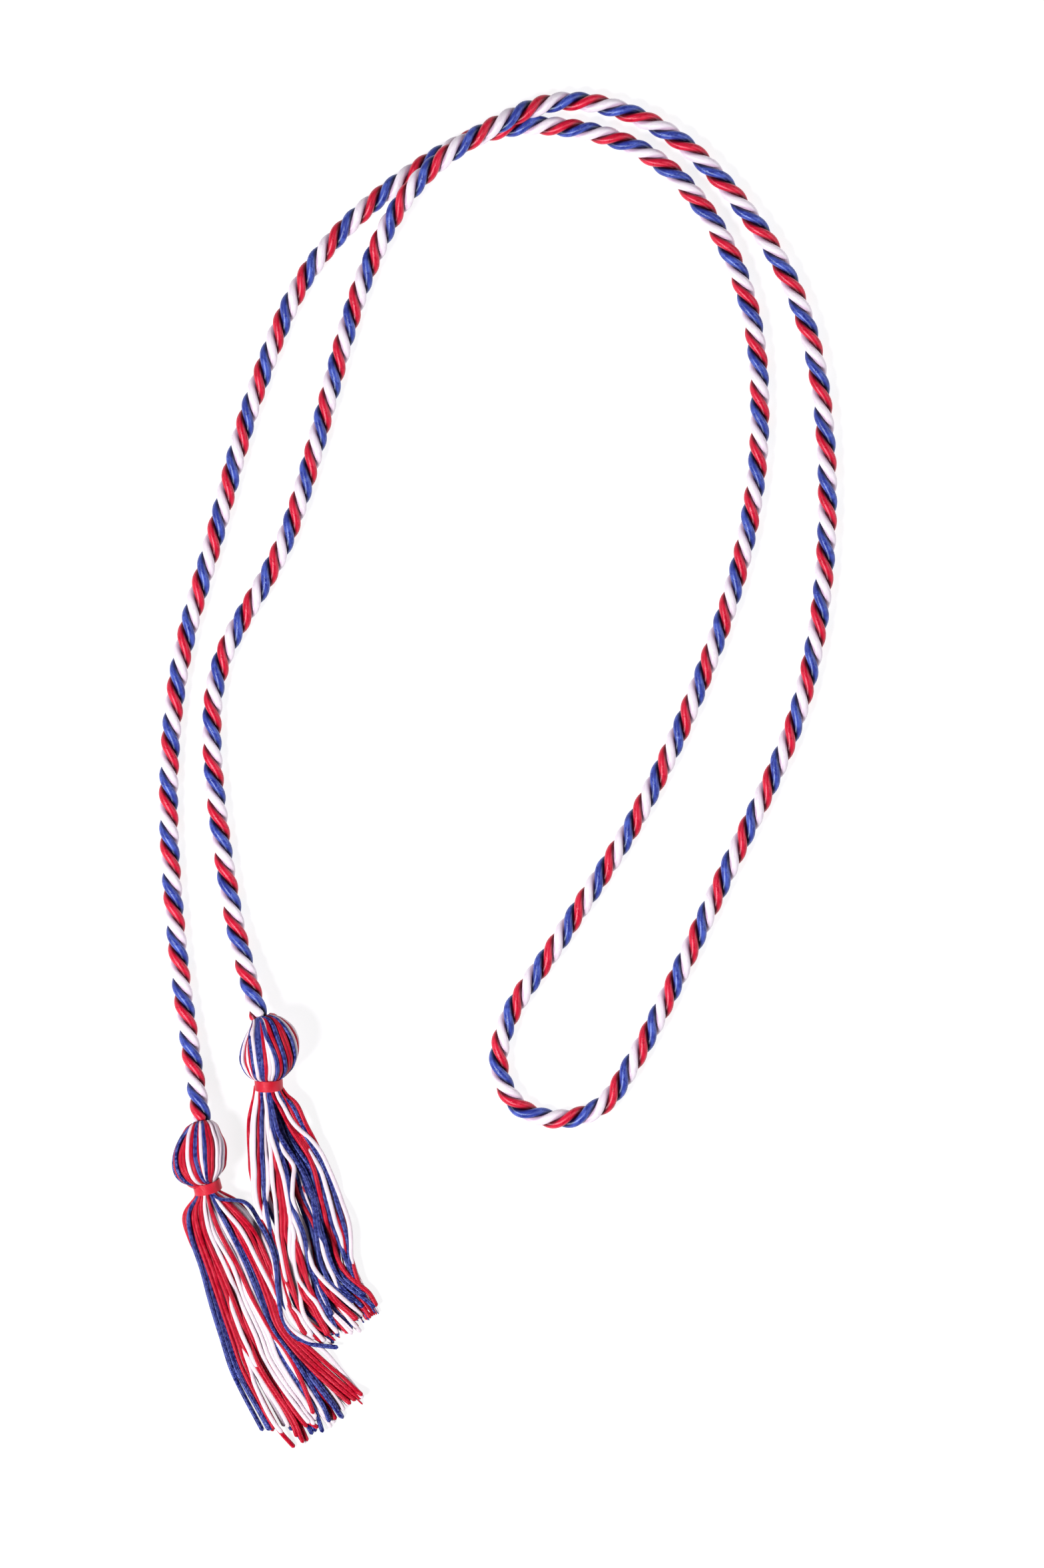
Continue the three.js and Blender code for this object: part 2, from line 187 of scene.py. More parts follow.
# %% Strands to mesh
def strand(line, outward, radius, sides, stretch=1.0, color=0, round_ends=True):
    """One strand: rings of points round a line, with the seam turned away from outward.

    stretch is how many units of V there are to a millimetre.
    """
    along = distances(line)
    ahead = unit(np.gradient(line, axis=0))
    outward = unit(outward - (outward * ahead).sum(axis=1, keepdims=True) * ahead)
    across = np.cross(ahead, outward)
    turn = 2 * np.pi * np.arange(sides) / sides
    radius = np.broadcast_to(np.asarray(radius, float), len(line))
    if round_ends:  # the last rings follow a ball, and the very last one is a fifth as wide
        ends = np.minimum(along, along[-1] - along) / np.maximum(radius, 1e-6)
        radius = radius * np.sqrt(1 - (1 - np.clip(ends, 0.02, 1)) ** 2)
    ring = -np.cos(turn)[None, :, None] * outward[:, None] - np.sin(turn)[None, :, None] * across[:, None]
    return {"points": line[:, None] + radius[:, None, None] * ring, "v": along * stretch, "color": color}


def thread_piece(name, strands, materials):
    """One mesh object of many strands, with a thread map and one material for each color."""
    points, corners, thread_map, colors, first = [], [], [], [], 0
    for made in strands:
        rings, sides = made["points"].shape[:2]
        side, ring = np.meshgrid(np.arange(sides), np.arange(rings - 1))
        side, ring = side.ravel(), ring.ravel()
        following = (side + 1) % sides
        here, onward = ring * sides, (ring + 1) * sides
        quad = [here + side, here + following, onward + following, onward + side]
        corners.append(first + np.stack(quad, axis=1))
        near, far = side / sides, (side + 1) / sides
        v0, v1 = made["v"][ring], made["v"][ring + 1]
        thread_map.append(np.stack([near, v0, far, v0, far, v1, near, v1], axis=1))
        colors.append(np.full(len(side), made["color"]))
        points.append(made["points"].reshape(-1, 3))
        first += rings * sides
    points, corners, thread_map, colors = map(np.concatenate, (points, corners, thread_map, colors))
    mesh = bpy.data.meshes.new(name)
    mesh.vertices.add(len(points))
    mesh.vertices.foreach_set("co", (points / 1000).ravel())
    mesh.loops.add(corners.size)
    mesh.loops.foreach_set("vertex_index", corners.ravel())
    mesh.polygons.add(len(corners))
    mesh.polygons.foreach_set("loop_start", np.arange(0, corners.size, 4))
    mesh.polygons.foreach_set("material_index", colors)
    mesh.polygons.foreach_set("use_smooth", np.ones(len(corners), bool))
    mesh.uv_layers.new(name="thread").uv.foreach_set("vector", thread_map.ravel())
    for material in materials:
        mesh.materials.append(material)
    mesh.update(calc_edges=True)
    piece = bpy.data.objects.new(name, mesh)
    bpy.context.collection.objects.link(piece)
    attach(piece, "root")
    print(name, len(strands), "strands,", 2 * len(corners), "triangles")
    return piece


# %% [markdown]
# ## Satin thread
# The rope and the bands are rayon. Its filaments are fine, bright and wound at a slant, so each
# ply shows a soft band of light that is broken up by short slanting lines. Relief that fine would
# cost millions of triangles, so the lines are drawn by a node group: a wave over the thread map,
# bent a little by noise so that no two lines are alike. The group only gives out a height and
# masks, and each material mixes its own colors from them: painted shade between the filaments,
# along a groove and at the ply's sides, and a painted highlight on some crests. Smooth
# filaments that lie side by side also draw a highlight out in one direction, which the surface's
# anisotropy does.

# %% Node helpers
def connect(tree, made, inputs):
    """Links or fills in a node's inputs."""
    for socket, value in dict(inputs).items():
        if isinstance(value, bpy.types.NodeSocket):
            tree.links.new(value, made.inputs[socket])
        else:
            made.inputs[socket].default_value = value


def node(tree, kind, inputs=(), **settings):
    """A node with its settings made and its inputs linked or filled in."""
    made = tree.nodes.new(kind)
    for name, value in settings.items():
        setattr(made, name, value)
    connect(tree, made, inputs)
    return made


def new_material(name):
    """A material, its tree and its surface shader."""
    material = bpy.data.materials.new(name)
    material.use_nodes = True
    return material, material.node_tree, material.node_tree.nodes["Principled BSDF"]


def math_node(tree, operation, *values):
    """The result of one operation on these values."""
    return node(tree, "ShaderNodeMath", enumerate(values), operation=operation).outputs[0]


def noise_node(tree, place, scale, detail):
    """Noise from 0 to 1, most of it near 0.5."""
    return node(tree, "ShaderNodeTexNoise", {"Vector": place, "Scale": scale, "Detail": detail}).outputs[0]


def ramp(tree, value, start, end, low=0.0, high=1.0):
    """Goes smoothly from low to high while a value goes from start to end."""
    inputs = {0: value, 1: start, 2: end, 3: low, 4: high}
    return node(tree, "ShaderNodeMapRange", inputs, interpolation_type="SMOOTHSTEP").outputs[0]


def mix(tree, share, color, other):
    """A color with a share of another one."""
    inputs = {0: share}
    for socket, value in ((6, color), (7, other)):
        inputs[socket] = (*value, 1) if isinstance(value, tuple) else value
    return node(tree, "ShaderNodeMix", inputs, data_type="RGBA").outputs[2]


def new_group(name, inputs, outputs):
    """An empty shader group with these sockets, and its own input and output nodes."""
    group = bpy.data.node_groups.new(name, "ShaderNodeTree")
    for label, kind, value in inputs:
        socket = group.interface.new_socket(name=label, in_out="INPUT", socket_type=kind)
        if value is not None:
            socket.default_value = value
    for label in outputs:
        group.interface.new_socket(name=label, in_out="OUTPUT", socket_type="NodeSocketFloat")
    return group, group.nodes.new("NodeGroupInput"), group.nodes.new("NodeGroupOutput")


# %% Filament lines
def slanting_filaments():
    """The lines of filaments wound round a ply.

    Starts is how many lines lie side by side round the ply, and Lines is how many of them pass in
    one unit of V. Unevenness is how far they stray.
    """
    group, taken, given = new_group(
        "slanting filaments",
        [
            ("Thread Map", "NodeSocketVector", None),
            ("Starts", "NodeSocketFloat", 20.0),
            ("Lines", "NodeSocketFloat", 3.0),
            ("Unevenness", "NodeSocketFloat", 0.5),
        ],
        ["Height", "Painted Sheen", "Painted Valley Shade", "Groove And Shade"],
    )
    parts = node(group, "ShaderNodeSeparateXYZ", {0: taken.outputs["Thread Map"]})
    place = node(group, "ShaderNodeTexCoord").outputs["Object"]
    noise = noise_node(group, place, 900.0, 3.0)
    slow = noise_node(group, place, 400.0, 2.0)
    round_it = math_node(group, "MULTIPLY", parts.outputs[0], taken.outputs["Starts"])
    along_it = math_node(group, "MULTIPLY", parts.outputs[1], taken.outputs["Lines"])
    bend = math_node(group, "MULTIPLY", noise, taken.outputs["Unevenness"])
    phase = math_node(group, "ADD", math_node(group, "ADD", round_it, along_it), bend)
    wave = math_node(group, "SINE", math_node(group, "MULTIPLY", phase, 2 * math.pi))
    height = math_node(group, "MULTIPLY_ADD", wave, 0.5, 0.5)
    # A painted sheen: a highlight painted on the crests of some of the lines.
    patchy = math_node(group, "MULTIPLY_ADD", ramp(group, slow, 0.4, 0.65), 0.7, 0.3)
    painted_sheen = math_node(group, "MULTIPLY", math_node(group, "POWER", height, 2.0), patchy)
    # U is 0.5 where a ply stands out, so the sides of the ply, down in the valley, are away from it.
    # The valley mask paints shade there.
    aside = math_node(group, "ABSOLUTE", math_node(group, "MULTIPLY_ADD", parts.outputs[0], 2.0, -1.0))
    painted_valley_shade = ramp(group, aside, 0.22, 0.5)
    # A ply is itself of a few yarns, so a groove wanders along it.
    # It is drawn as a bump and as painted shade.
    astray = math_node(group, "MULTIPLY_ADD", slow, 0.5, 0.29)
    from_groove = math_node(group, "ABSOLUTE", math_node(group, "SUBTRACT", parts.outputs[0], astray))
    groove_and_shade = ramp(group, from_groove, 0.0, 0.045, 1.0, 0.0)
    connect(group, given, {"Height": height, "Painted Sheen": painted_sheen, "Painted Valley Shade": painted_valley_shade, "Groove And Shade": groove_and_shade})
    return group


FILAMENTS = slanting_filaments()
print("node group", FILAMENTS.name)


# %% Satin material
def satin(name, painted_valley_shade, low, body, high, tint, starts, lines, roughness, silkiness=0.8):
    """Satin thread: body color, low for painted shade between the filaments and along a groove, high
    for a painted highlight on some crests, and the valley color for painted shade at its sides.

    Its highlights take a tint from the dyed filaments, and silkiness draws them out.
    """
    material, tree, surface = new_material(name)
    values = {"Starts": starts, "Lines": lines, "Unevenness": 1.0}
    values["Thread Map"] = node(tree, "ShaderNodeUVMap", uv_map="thread").outputs[0]
    filaments = node(tree, "ShaderNodeGroup", node_tree=FILAMENTS)
    connect(tree, filaments, values)
    height, painted_sheen, sides, groove_and_shade = filaments.outputs
    # Painted shade between the filament lines, where the relief is low.
    color = mix(tree, height, low, body)
    # A painted highlight on the crests of some lines.
    color = mix(tree, painted_sheen, color, high)
    # Painted shade along the groove.
    color = mix(tree, math_node(tree, "MULTIPLY", groove_and_shade, 0.6), color, low)
    # Painted shade at the ply's sides, down in the valleys.
    color = mix(tree, sides, color, painted_valley_shade)
    relief = math_node(tree, "SUBTRACT", height, math_node(tree, "MULTIPLY", groove_and_shade, 2.5))
    bump = node(tree, "ShaderNodeBump", {"Strength": 0.25, "Distance": 0.00006, "Height": relief})
    # Filaments that are wound round a ply draw its highlight out along the ply.
    tangent = node(tree, "ShaderNodeTangent", direction_type="UV_MAP", uv_map="thread")
    connect(tree, surface, {
        "Base Color": color, "Normal": bump.outputs[0], "Roughness": roughness,
        "Specular IOR Level": 0.8, "Specular Tint": (*tint, 1),
        "Tangent": tangent.outputs[0], "Anisotropic": silkiness, "Anisotropic Rotation": 0.25,
    })
    return material


# Each satin: painted shade at the ply's sides, painted shade between the filaments, the body color, a painted
# highlight on the crests, then the tint of its specular highlights.
ROPE_SATIN = [
    satin(
        "blue_satin", (0.003, 0.001, 0.03), (0.007, 0.01, 0.15), (0.016, 0.026, 0.33), (0.14, 0.23, 0.92),
        tint=(0.7, 0.84, 1), starts=26, lines=3.2, roughness=0.36,
    ),
    satin(
        "white_satin", (0.60, 0.40, 0.57), (0.78, 0.66, 0.78), (0.86, 0.78, 0.88), (0.98, 0.96, 0.98),
        tint=(1, 1, 1), starts=26, lines=3.2, roughness=0.4,
    ),
    satin(
        "red_satin", (0.07, 0.0002, 0.004), (0.36, 0.001, 0.015), (0.74, 0.002, 0.032), (1.0, 0.03, 0.09),
        tint=(1, 0.55, 0.65), starts=26, lines=3.2, roughness=0.36,
    ),
]
print("satins", [m.name for m in ROPE_SATIN])

# %% [markdown]
# ## The rope
# Three plies are twisted to the left round one another, a turn in every 18 mm. The twist isn't
# quite even: it opens and closes a little along the cord, so the turns were counted along the
# route and are given at some places. Each ply is a round strand whose middle goes round the
# rope's own line. The rope is one piece, because its plies can't be taken apart.

# %% Three plies
PLY_RADIUS = 1.5
PLY_SPACING = 0.7  # millimetres from ring to ring
PLY_SIDES = 14
TURNS = [  # millimetres along the rope, and the turns of the twist up to there
    (7, 0), (126, 7), (250.4, 14), (318.8, 18), (387.5, 22), (508.3, 29), (632, 36), (721.7, 41),
    (774, 44), (903, 51), (1034.5, 58), (1163, 65), (1288.3, 72), (1410.4, 79), (1498.3, 84),
]
PAST_END = 50  # millimetres that the first and the last pitch are carried on for
SMOOTHING = 30  # rings on either side that even out the pitch

middle = even_line(rope_line, PLY_SPACING)
along = distances(middle)
marks, counts = np.array(TURNS).T
slope_in = (counts[1] - counts[0]) / (marks[1] - marks[0])
slope_out = (counts[-1] - counts[-2]) / (marks[-1] - marks[-2])
marks = np.concatenate([[marks[0] - PAST_END], marks, [marks[-1] + PAST_END]])
counts = np.concatenate([[counts[0] - PAST_END * slope_in], counts, [counts[-1] + PAST_END * slope_out]])
turns = np.interp(along, marks, counts)
turns = evened(turns, np.ones(2 * SMOOTHING + 1), mode="reflect", reflect_type="odd")
ahead = unit(np.gradient(middle, axis=0))
leftward = unit(np.cross([0, 0, 1], ahead))
upward = np.cross(ahead, leftward)

plies = []
for color, offset in enumerate((0, 1 / 3, 2 / 3)):
    angle = np.radians(90 - 360 * (turns - offset))[:, None]
    outward = np.cos(angle) * leftward + np.sin(angle) * upward
    line = middle + (ROPE_DIAMETER / 2 - PLY_RADIUS) * outward
    plies.append(strand(line, outward, PLY_RADIUS, PLY_SIDES, color=color))
rope = thread_piece("rope_plies", plies, ROPE_SATIN)
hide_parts("rope")
print("rope", round(along[-1]), "mm,", round(turns[-1] - turns[0], 1), "turns")

# %% [markdown]
# ## Chain-stitched thread
# The tassels are made of chainette, a thread that is itself knitted from fine rayon into a narrow
# tube. Seen close, each strand is a row of small V-shaped stitches, three to every two
# millimetres, with a fleck of light on each. Stitches that fine would cost millions of triangles,
# so the strands are plain round ones, and a node group draws the stitches over the thread map:
# two rows of slanting grains with painted shade between them, painted highlight flecks where the
# light would catch them, and painted shade on the strand's two sides, which lie pressed against
# the next strands.

# %% Knitted stitches
STITCHES = 1 / 0.64  # in a millimetre of chainette


def knitted_stitches():
    """The stitches of chainette, from a thread map whose V counts stitches.

    Slant is how many stitches a row leans by from the strand's crown to its underside.
    """
    group, taken, given = new_group(
        "knitted stitches",
        [("Thread Map", "NodeSocketVector", None), ("Slant", "NodeSocketFloat", 4.6)],
        ["Height", "Painted Glint", "Side"],
    )
    parts = node(group, "ShaderNodeSeparateXYZ", {0: taken.outputs["Thread Map"]})
    place = node(group, "ShaderNodeTexCoord").outputs["Object"]
    fine = noise_node(group, place, 2600.0, 1.0)
    patches = noise_node(group, place, 1100.0, 1.0)
    from_crown = math_node(group, "ABSOLUTE", math_node(group, "MULTIPLY_ADD", parts.outputs[0], 2.0, -1.0))
    phase = math_node(group, "MULTIPLY_ADD", from_crown, taken.outputs["Slant"], parts.outputs[1])
    phase = math_node(group, "MULTIPLY_ADD", fine, 0.3, phase)
    wave = math_node(group, "COSINE", math_node(group, "MULTIPLY", phase, 2 * math.pi))
    ridge = math_node(group, "MULTIPLY_ADD", wave, 0.5, 0.5)
    round_it = math_node(group, "MULTIPLY", parts.outputs[0], 4 * math.pi)
    rows = math_node(group, "ABSOLUTE", math_node(group, "SINE", round_it))
    height = math_node(group, "MULTIPLY", ridge, math_node(group, "MULTIPLY_ADD", rows, 0.6, 0.4))
    # The flecks are a highlight painted on the crests of the stitches, in patches.
    bright = ramp(group, patches, 0.38, 0.58)
    painted_glint = math_node(group, "MULTIPLY", math_node(group, "POWER", height, 2.0), bright)
    # The side mask is for painted shade on the strand's sides, next to its neighbours.
    side = ramp(group, from_crown, 0.3, 0.58)
    connect(group, given, {"Height": height, "Painted Glint": painted_glint, "Side": side})
    return group


KNITTED = knitted_stitches()
print("node group", KNITTED.name)


# %% Chainette material
def chainette(name, low, body, high, side, tint):
    """Chain-stitched thread: low for painted shade between the stitches, high for painted highlight
    flecks, and side for painted shade near its neighbors.
    """
    material, tree, surface = new_material(name)
    thread_map = node(tree, "ShaderNodeUVMap", uv_map="thread").outputs[0]
    stitches = node(tree, "ShaderNodeGroup", node_tree=KNITTED)
    connect(tree, stitches, {"Thread Map": thread_map})
    height, painted_glint, painted_side_shade = stitches.outputs
    # Painted shade between the stitches, where the relief is low.
    color = mix(tree, height, low, body)
    # A painted highlight on the flecks.
    color = mix(tree, painted_glint, color, high)
    # Painted shade on the strand's sides.
    color = mix(tree, painted_side_shade, color, side)
    bump = node(tree, "ShaderNodeBump", {"Strength": 0.4, "Distance": 0.0001, "Height": height})
    connect(tree, surface, {
        "Base Color": color, "Normal": bump.outputs[0], "Roughness": 0.38,
        "Specular IOR Level": 0.3, "Specular Tint": (*tint, 1),
    })
    return material


COLORS = ["blue", "white", "red"]
# Each chainette: painted shade between the stitches, the body color, painted highlight flecks, painted shade at the
# sides, then the tint of its specular highlights.
CHAINETTE = {
    "blue": chainette(
        "blue_chainette", (0.004, 0.004, 0.055), (0.012, 0.016, 0.20), (0.22, 0.28, 0.92),
        side=(0.002, 0.001, 0.02), tint=(0.6, 0.7, 1),
    ),
    "white": chainette(
        "white_chainette", (0.68, 0.54, 0.63), (0.86, 0.76, 0.82), (0.98, 0.95, 0.97),
        side=(0.46, 0.27, 0.40), tint=(1, 1, 1),
    ),
    "red": chainette(
        "red_chainette", (0.24, 0.0005, 0.008), (0.66, 0.0015, 0.024), (0.95, 0.03, 0.085),
        side=(0.07, 0.0003, 0.004), tint=(1, 0.55, 0.65),
    ),
}
print("chainettes", list(CHAINETTE))

# %% [markdown]
# ## Where each tassel lies
# A tassel hangs on the rope's end: first its round head, then the neck with the band, then the
# skirt. Its middle line leaves the rope in the rope's own direction and turns into the neck's,
# and a cubic Bezier curve does just that with four points.

# %% Tassel layout
NECK_RADIUS = 3.7
NECK_DIP = 12  # degrees that a neck points down by
BAND_WIDTH = 3.7


def axis_direction(lean, dip):
    """Down the picture, leaning to the right and dipping toward the surface, in degrees."""
    turn, fall = math.radians(lean), math.radians(dip)
    level = math.cos(fall)
    return np.array([math.sin(turn) * level, -math.cos(turn) * level, -math.sin(fall)])


def crossways(direction):
    """The level direction and the upward one that are square to a direction."""
    side = unit(np.cross([0, 0, 1], direction))
    return side, np.cross(direction, side)


def lay_out(tassel, rope_end):
    """Adds to a tassel where its neck is, where that points, and its head's middle line."""
    end, direction = rope_end
    neck = end + axis_direction(tassel["lean"], 0) * (tassel["length"] + CLEARANCE + BAND_WIDTH / 2)
    neck[2] = NECK_HEIGHT
    neck_direction = axis_direction(tassel["neck_lean"], NECK_DIP)
    half = BAND_WIDTH / 2 + CLEARANCE
    top, head_end = end + direction * CLEARANCE, neck - neck_direction * half
    pull = tassel["length"] / 3
    points = np.array([top, top + direction * pull, head_end - neck_direction * pull, head_end])
    t = np.linspace(0, 1, 101)[:, None]
    spine = points[0] * (1 - t) ** 3 + 3 * points[1] * t * (1 - t) ** 2
    spine = spine + 3 * points[2] * t**2 * (1 - t) + points[3] * t**3
    tassel.update(neck=neck, direction=neck_direction, spine=spine)


for name, tassel in (("left", LEFT), ("right", RIGHT)):
    lay_out(tassel, rope_ends[name])
    print(name, "neck at", tassel["neck"].round(1))

# %% [markdown]
# ## The heads
# Each head is a ball of chainettes that run from the rope to the neck like the lines of longitude
# on a globe, close together at the widest place and tucked under the rope and the band at the two
# ends. The ones on top were counted in the photograph, with the angle of each from straight up
# and its color. The ones below are guessed. A red core fills the ball, so that no gap shows
# between the strands. A row of a chart is one strand: its color and its order, where a higher
# order stands out more, then how far down the head it is and how far across, both in hundredths.

# %% Head charts
HEAD_CHARTS = {"left": """
blue 1: 0 -99, 69 -99, 81 -98, 94 -96
red 1: 0 -97, 45 -97, 57 -95, 69 -94, 81 -87, 94 -81
blue 3: 0 -55, 5 -65, 20 -92, 32 -93, 44 -92, 57 -88, 69 -83, 81 -76, 94 -68
red 1: 0 -60, 25 -72, 37 -74, 44 -78, 57 -75, 69 -69, 81 -57, 94 -44
red 1: 0 -55, 20 -66, 32 -68, 44 -66, 57 -61, 69 -56, 81 -44, 94 -30
white 3: 0 -60, 10 -65, 20 -65, 32 -57, 44 -51, 57 -44, 69 -37, 81 -27, 94 -17
red 2: 0 -48, 8 -50, 20 -45, 32 -42, 44 -38, 57 -29, 69 -19, 81 -9, 94 3
blue 3: 0 -28, 8 -30, 20 -27, 32 -26, 44 -21, 57 -14, 69 -4, 81 7, 94 22
red 1: 0 -17, 20 -16, 32 -14, 44 -10, 57 -3, 69 7, 81 15, 94 25
white 2: 0 -8, 8 -7, 20 -5, 32 -4, 44 1, 57 8, 69 13, 81 23, 94 29
blue 3: 0 10, 20 12, 32 13, 44 18, 57 21, 69 24, 81 28, 94 34
red 2: 0 18, 8 20, 20 27, 32 28, 44 31, 57 34, 69 37, 81 40, 94 46
red 2: 0 36, 8 40, 20 43, 32 44, 44 47, 57 48, 69 49, 81 52, 94 54
white 3: 0 54, 8 58, 20 63, 32 63, 44 64, 57 65, 69 66, 81 68, 94 70
white 3: 0 74, 14 82, 26 79, 32 76, 57 73, 94 76
blue 1: 0 84, 32 80, 44 78, 57 78, 69 77, 81 79, 94 86
white 2: 0 90, 14 91, 32 90, 44 88, 57 87, 69 87, 81 88, 94 94
red 1: 0 98, 20 97, 32 97, 44 96, 57 96, 69 97, 94 99
""", "right": """
blue 1: 0 -99, 60 -99, 78 -96, 96 -89
white 2: 0 -95, 24 -95, 42 -93, 60 -92, 78 -86, 96 -75
red 1: 0 -88, 34 -84, 42 -84, 60 -80, 78 -74, 96 -73
white 1: 0 -84, 50 -78, 60 -71, 78 -65, 96 -68
red 1: 0 -90, 34 -80, 42 -72, 60 -64, 78 -59, 96 -62
blue 2: 0 -95, 10 -91, 24 -80, 42 -65, 60 -55, 78 -53, 96 -58
white 3: 0 -80, 6 -80, 24 -67, 42 -53, 60 -45, 78 -39, 96 -43
blue 3: 0 -58, 5 -60, 24 -52, 42 -42, 60 -36, 78 -25, 96 -24
blue 2: 0 -46, 5 -47, 24 -39, 42 -31, 60 -25, 78 -17, 96 -16
red 2: 0 -34, 18 -30, 24 -29, 42 -19, 60 -12, 78 -6, 96 -5
white 1: 0 -24, 26 -21, 42 -9, 60 1, 78 9, 96 15
white 2: 0 -20, 24 -16, 42 -1, 60 13, 78 23, 96 30
blue 4: 0 -30, 5 -28, 24 -16, 42 7, 60 25, 78 36, 96 50
red 2: 0 -6, 5 -5, 24 3, 42 22, 60 38, 78 50, 96 70
blue 4: -1 -2, 6 24, 24 22, 42 36, 60 50, 78 66, 96 86
red 2: 0 40, 10 43, 24 39, 42 51, 60 63, 78 79, 96 95
red 2: 0 48, 15 53, 24 51, 42 62, 60 72, 78 89, 96 97
blue 4: -1 46, 6 57, 24 68, 42 77, 60 84, 78 95, 96 98
white 2: 0 66, 13 74, 24 79, 42 86, 60 94, 78 99
red 1: 0 76, 6 81, 24 91, 42 94, 60 99
white 1: 0 90, 6 93, 24 97, 42 99
"""}
HEAD_FORMS = {  # the share along, and the radius and the shift to the right in millimetres
    "left": [
        (-0.02, 3.6, 0), (0.02, 4.6, -0.2), (0.075, 5.8, -0.3), (0.2, 7, -0.5), (0.32, 8.2, -0.5),
        (0.445, 8.95, -0.7), (0.57, 9.3, -1), (0.69, 9.35, -1.2), (0.815, 8.7, -1.5), (0.92, 7.2, -1.5),
        (0.985, 5.4, -0.8), (1, 4.2, -0.3), (1.05, 3.85, 0), (1.1, 3.85, 0),
    ],
    "right": [
        (-0.03, 3.8, 1.0), (0.01, 4.9, 1.8), (0.06, 6.1, 2.3), (0.24, 8.8, 2.3), (0.42, 10.05, 1.7),
        (0.6, 10.2, 0.9), (0.78, 9.0, 0.2), (0.9, 7.3, -0.3), (0.975, 5.6, -0.3), (1, 4.3, -0.1),
        (1.05, 3.85, 0), (1.1, 3.85, 0),
    ],
}
for name in HEAD_CHARTS:
    print(name, "head,", HEAD_CHARTS[name].count(":"), "strands charted")

# %% Head strands
STRAND_SIDES, STRAND_SPACING = 10, 0.5  # of every chainette
THIN, FULLER = 0.45, 0.3  # radius of a strand at a head's ends, and what it gains at the widest place
SUNK, ORDER_STEP = 0.2, 0.16  # how far strands are under the head's form, and up with each order
HIDDEN_ANGLES = np.linspace(98, 262, 20)[1:-1]  # degrees from straight up
HEAD_SMOOTHING = 6  # rings on either side that even out a strand's angle
CORE_DEPTH, CORE_SIDES = 1.7, 20
chance = np.random.default_rng(7)


def read_chart(text):
    """The strands of a chart, as color, order, and pairs of places."""
    found = []
    for row in text.strip().splitlines():
        head, places = row.split(":")
        color, order = head.split()
        places = np.array([place.split() for place in places.split(",")], float)
        found.append((color, float(order), places))
    return found


def head_strands(tassel, chart, form):
    """The chainettes of a head, and the core inside them."""
    strands = []
    for color, order, places in read_chart(chart):
        angles = [(down / 100, math.degrees(math.asin(across / 100))) for down, across in places]
        strands.append((color, order, angles))
    for angle in HIDDEN_ANGLES:
        color = COLORS[chance.integers(3)]
        strands.append((color, 1.5, [(0, angle + chance.normal(0, 1)), (1, angle + chance.normal(0, 2))]))
    along, reach, shift = smooth_line(form, 8).T
    # The head's middle line goes on straight past its two ends.
    spine = tassel["spine"]
    onward = unit(spine[-1] - spine[-2]) * tassel["length"]
    backward = unit(spine[1] - spine[0]) * tassel["length"]
    t = np.linspace(0, 1, len(spine))
    middle = between(along, t, spine)
    middle += np.minimum(along, 0)[:, None] * backward + np.maximum(along - 1, 0)[:, None] * onward
    ahead = unit(np.gradient(middle, axis=0))
    side = unit(np.cross([0, 0, 1], ahead))
    up = np.cross(ahead, side)
    middle[:, 0] += shift
    fullness = np.clip((reach - NECK_RADIUS) / (tassel["diameter"] / 2 - NECK_RADIUS), 0, 1)
    middle[:, 2] += (head_height(tassel) - middle[:, 2]) * fullness
    made = []
    for color, order, places in strands:
        marks, angles = np.array(places).T
        angle = np.radians(np.interp(along, marks, angles))
        angle = evened(angle, np.ones(2 * HEAD_SMOOTHING + 1), mode="edge")[:, None]
        outward = side * np.sin(angle) + up * np.cos(angle)
        thick = THIN + FULLER * np.clip(fullness * 1.6, 0, 1)
        line = middle + outward * (reach - thick - SUNK + ORDER_STEP * (order - 2))[:, None]
        line[:, 2] = np.maximum(line[:, 2], thick)
        run = distances(line)
        line = even_line(line, STRAND_SPACING)
        share = np.linspace(0, run[-1], len(line))
        thick = np.interp(share, run, thick)
        aim = between(share, run, outward)
        number = COLORS.index(color)
        made.append(strand(line, aim, thick, STRAND_SIDES, stretch=STITCHES, color=number))
    inside = slice(6, -6)
    narrow = reach[inside] - CORE_DEPTH
    red = COLORS.index("red")
    made.append(strand(middle[inside], up[inside], narrow, CORE_SIDES, STITCHES, red, round_ends=False))
    return made


for name, tassel in (("left", LEFT), ("right", RIGHT)):
    strands = head_strands(tassel, HEAD_CHARTS[name], HEAD_FORMS[name])
    head = thread_piece("head_" + name, strands, [CHAINETTE[color] for color in COLORS])
    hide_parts("tassel_" + name)

# %% [markdown]
# ## The bands
# Red satin thread is wound a dozen times round each neck, turn beside turn. It is one long helix,
# which gives the fine level ridges of the real binding, round a plain sleeve that shuts the gaps.

# %% Bands
BAND_THREAD = 0.17
BAND_TURNS, TURN_STEPS, BAND_SIDES = 12, 48, 7
BAND_OUT, SLEEVE_OUT = 0.9, 0.72  # how far the thread, and a sleeve under it, stand out from the neck
SLEEVE_REACH, SLEEVE_SIDES = 1.7, 40
# The band's colors: painted shade at the thread's sides and between its filaments, its body, and a painted highlight
# on the crests.
BAND_RED = satin(
    "band_satin", (0.30, 0.001, 0.010), (0.34, 0.001, 0.010), (0.70, 0.002, 0.022), (0.96, 0.05, 0.10),
    tint=(1, 0.5, 0.55), starts=3, lines=1.6, roughness=0.36, silkiness=0,
)

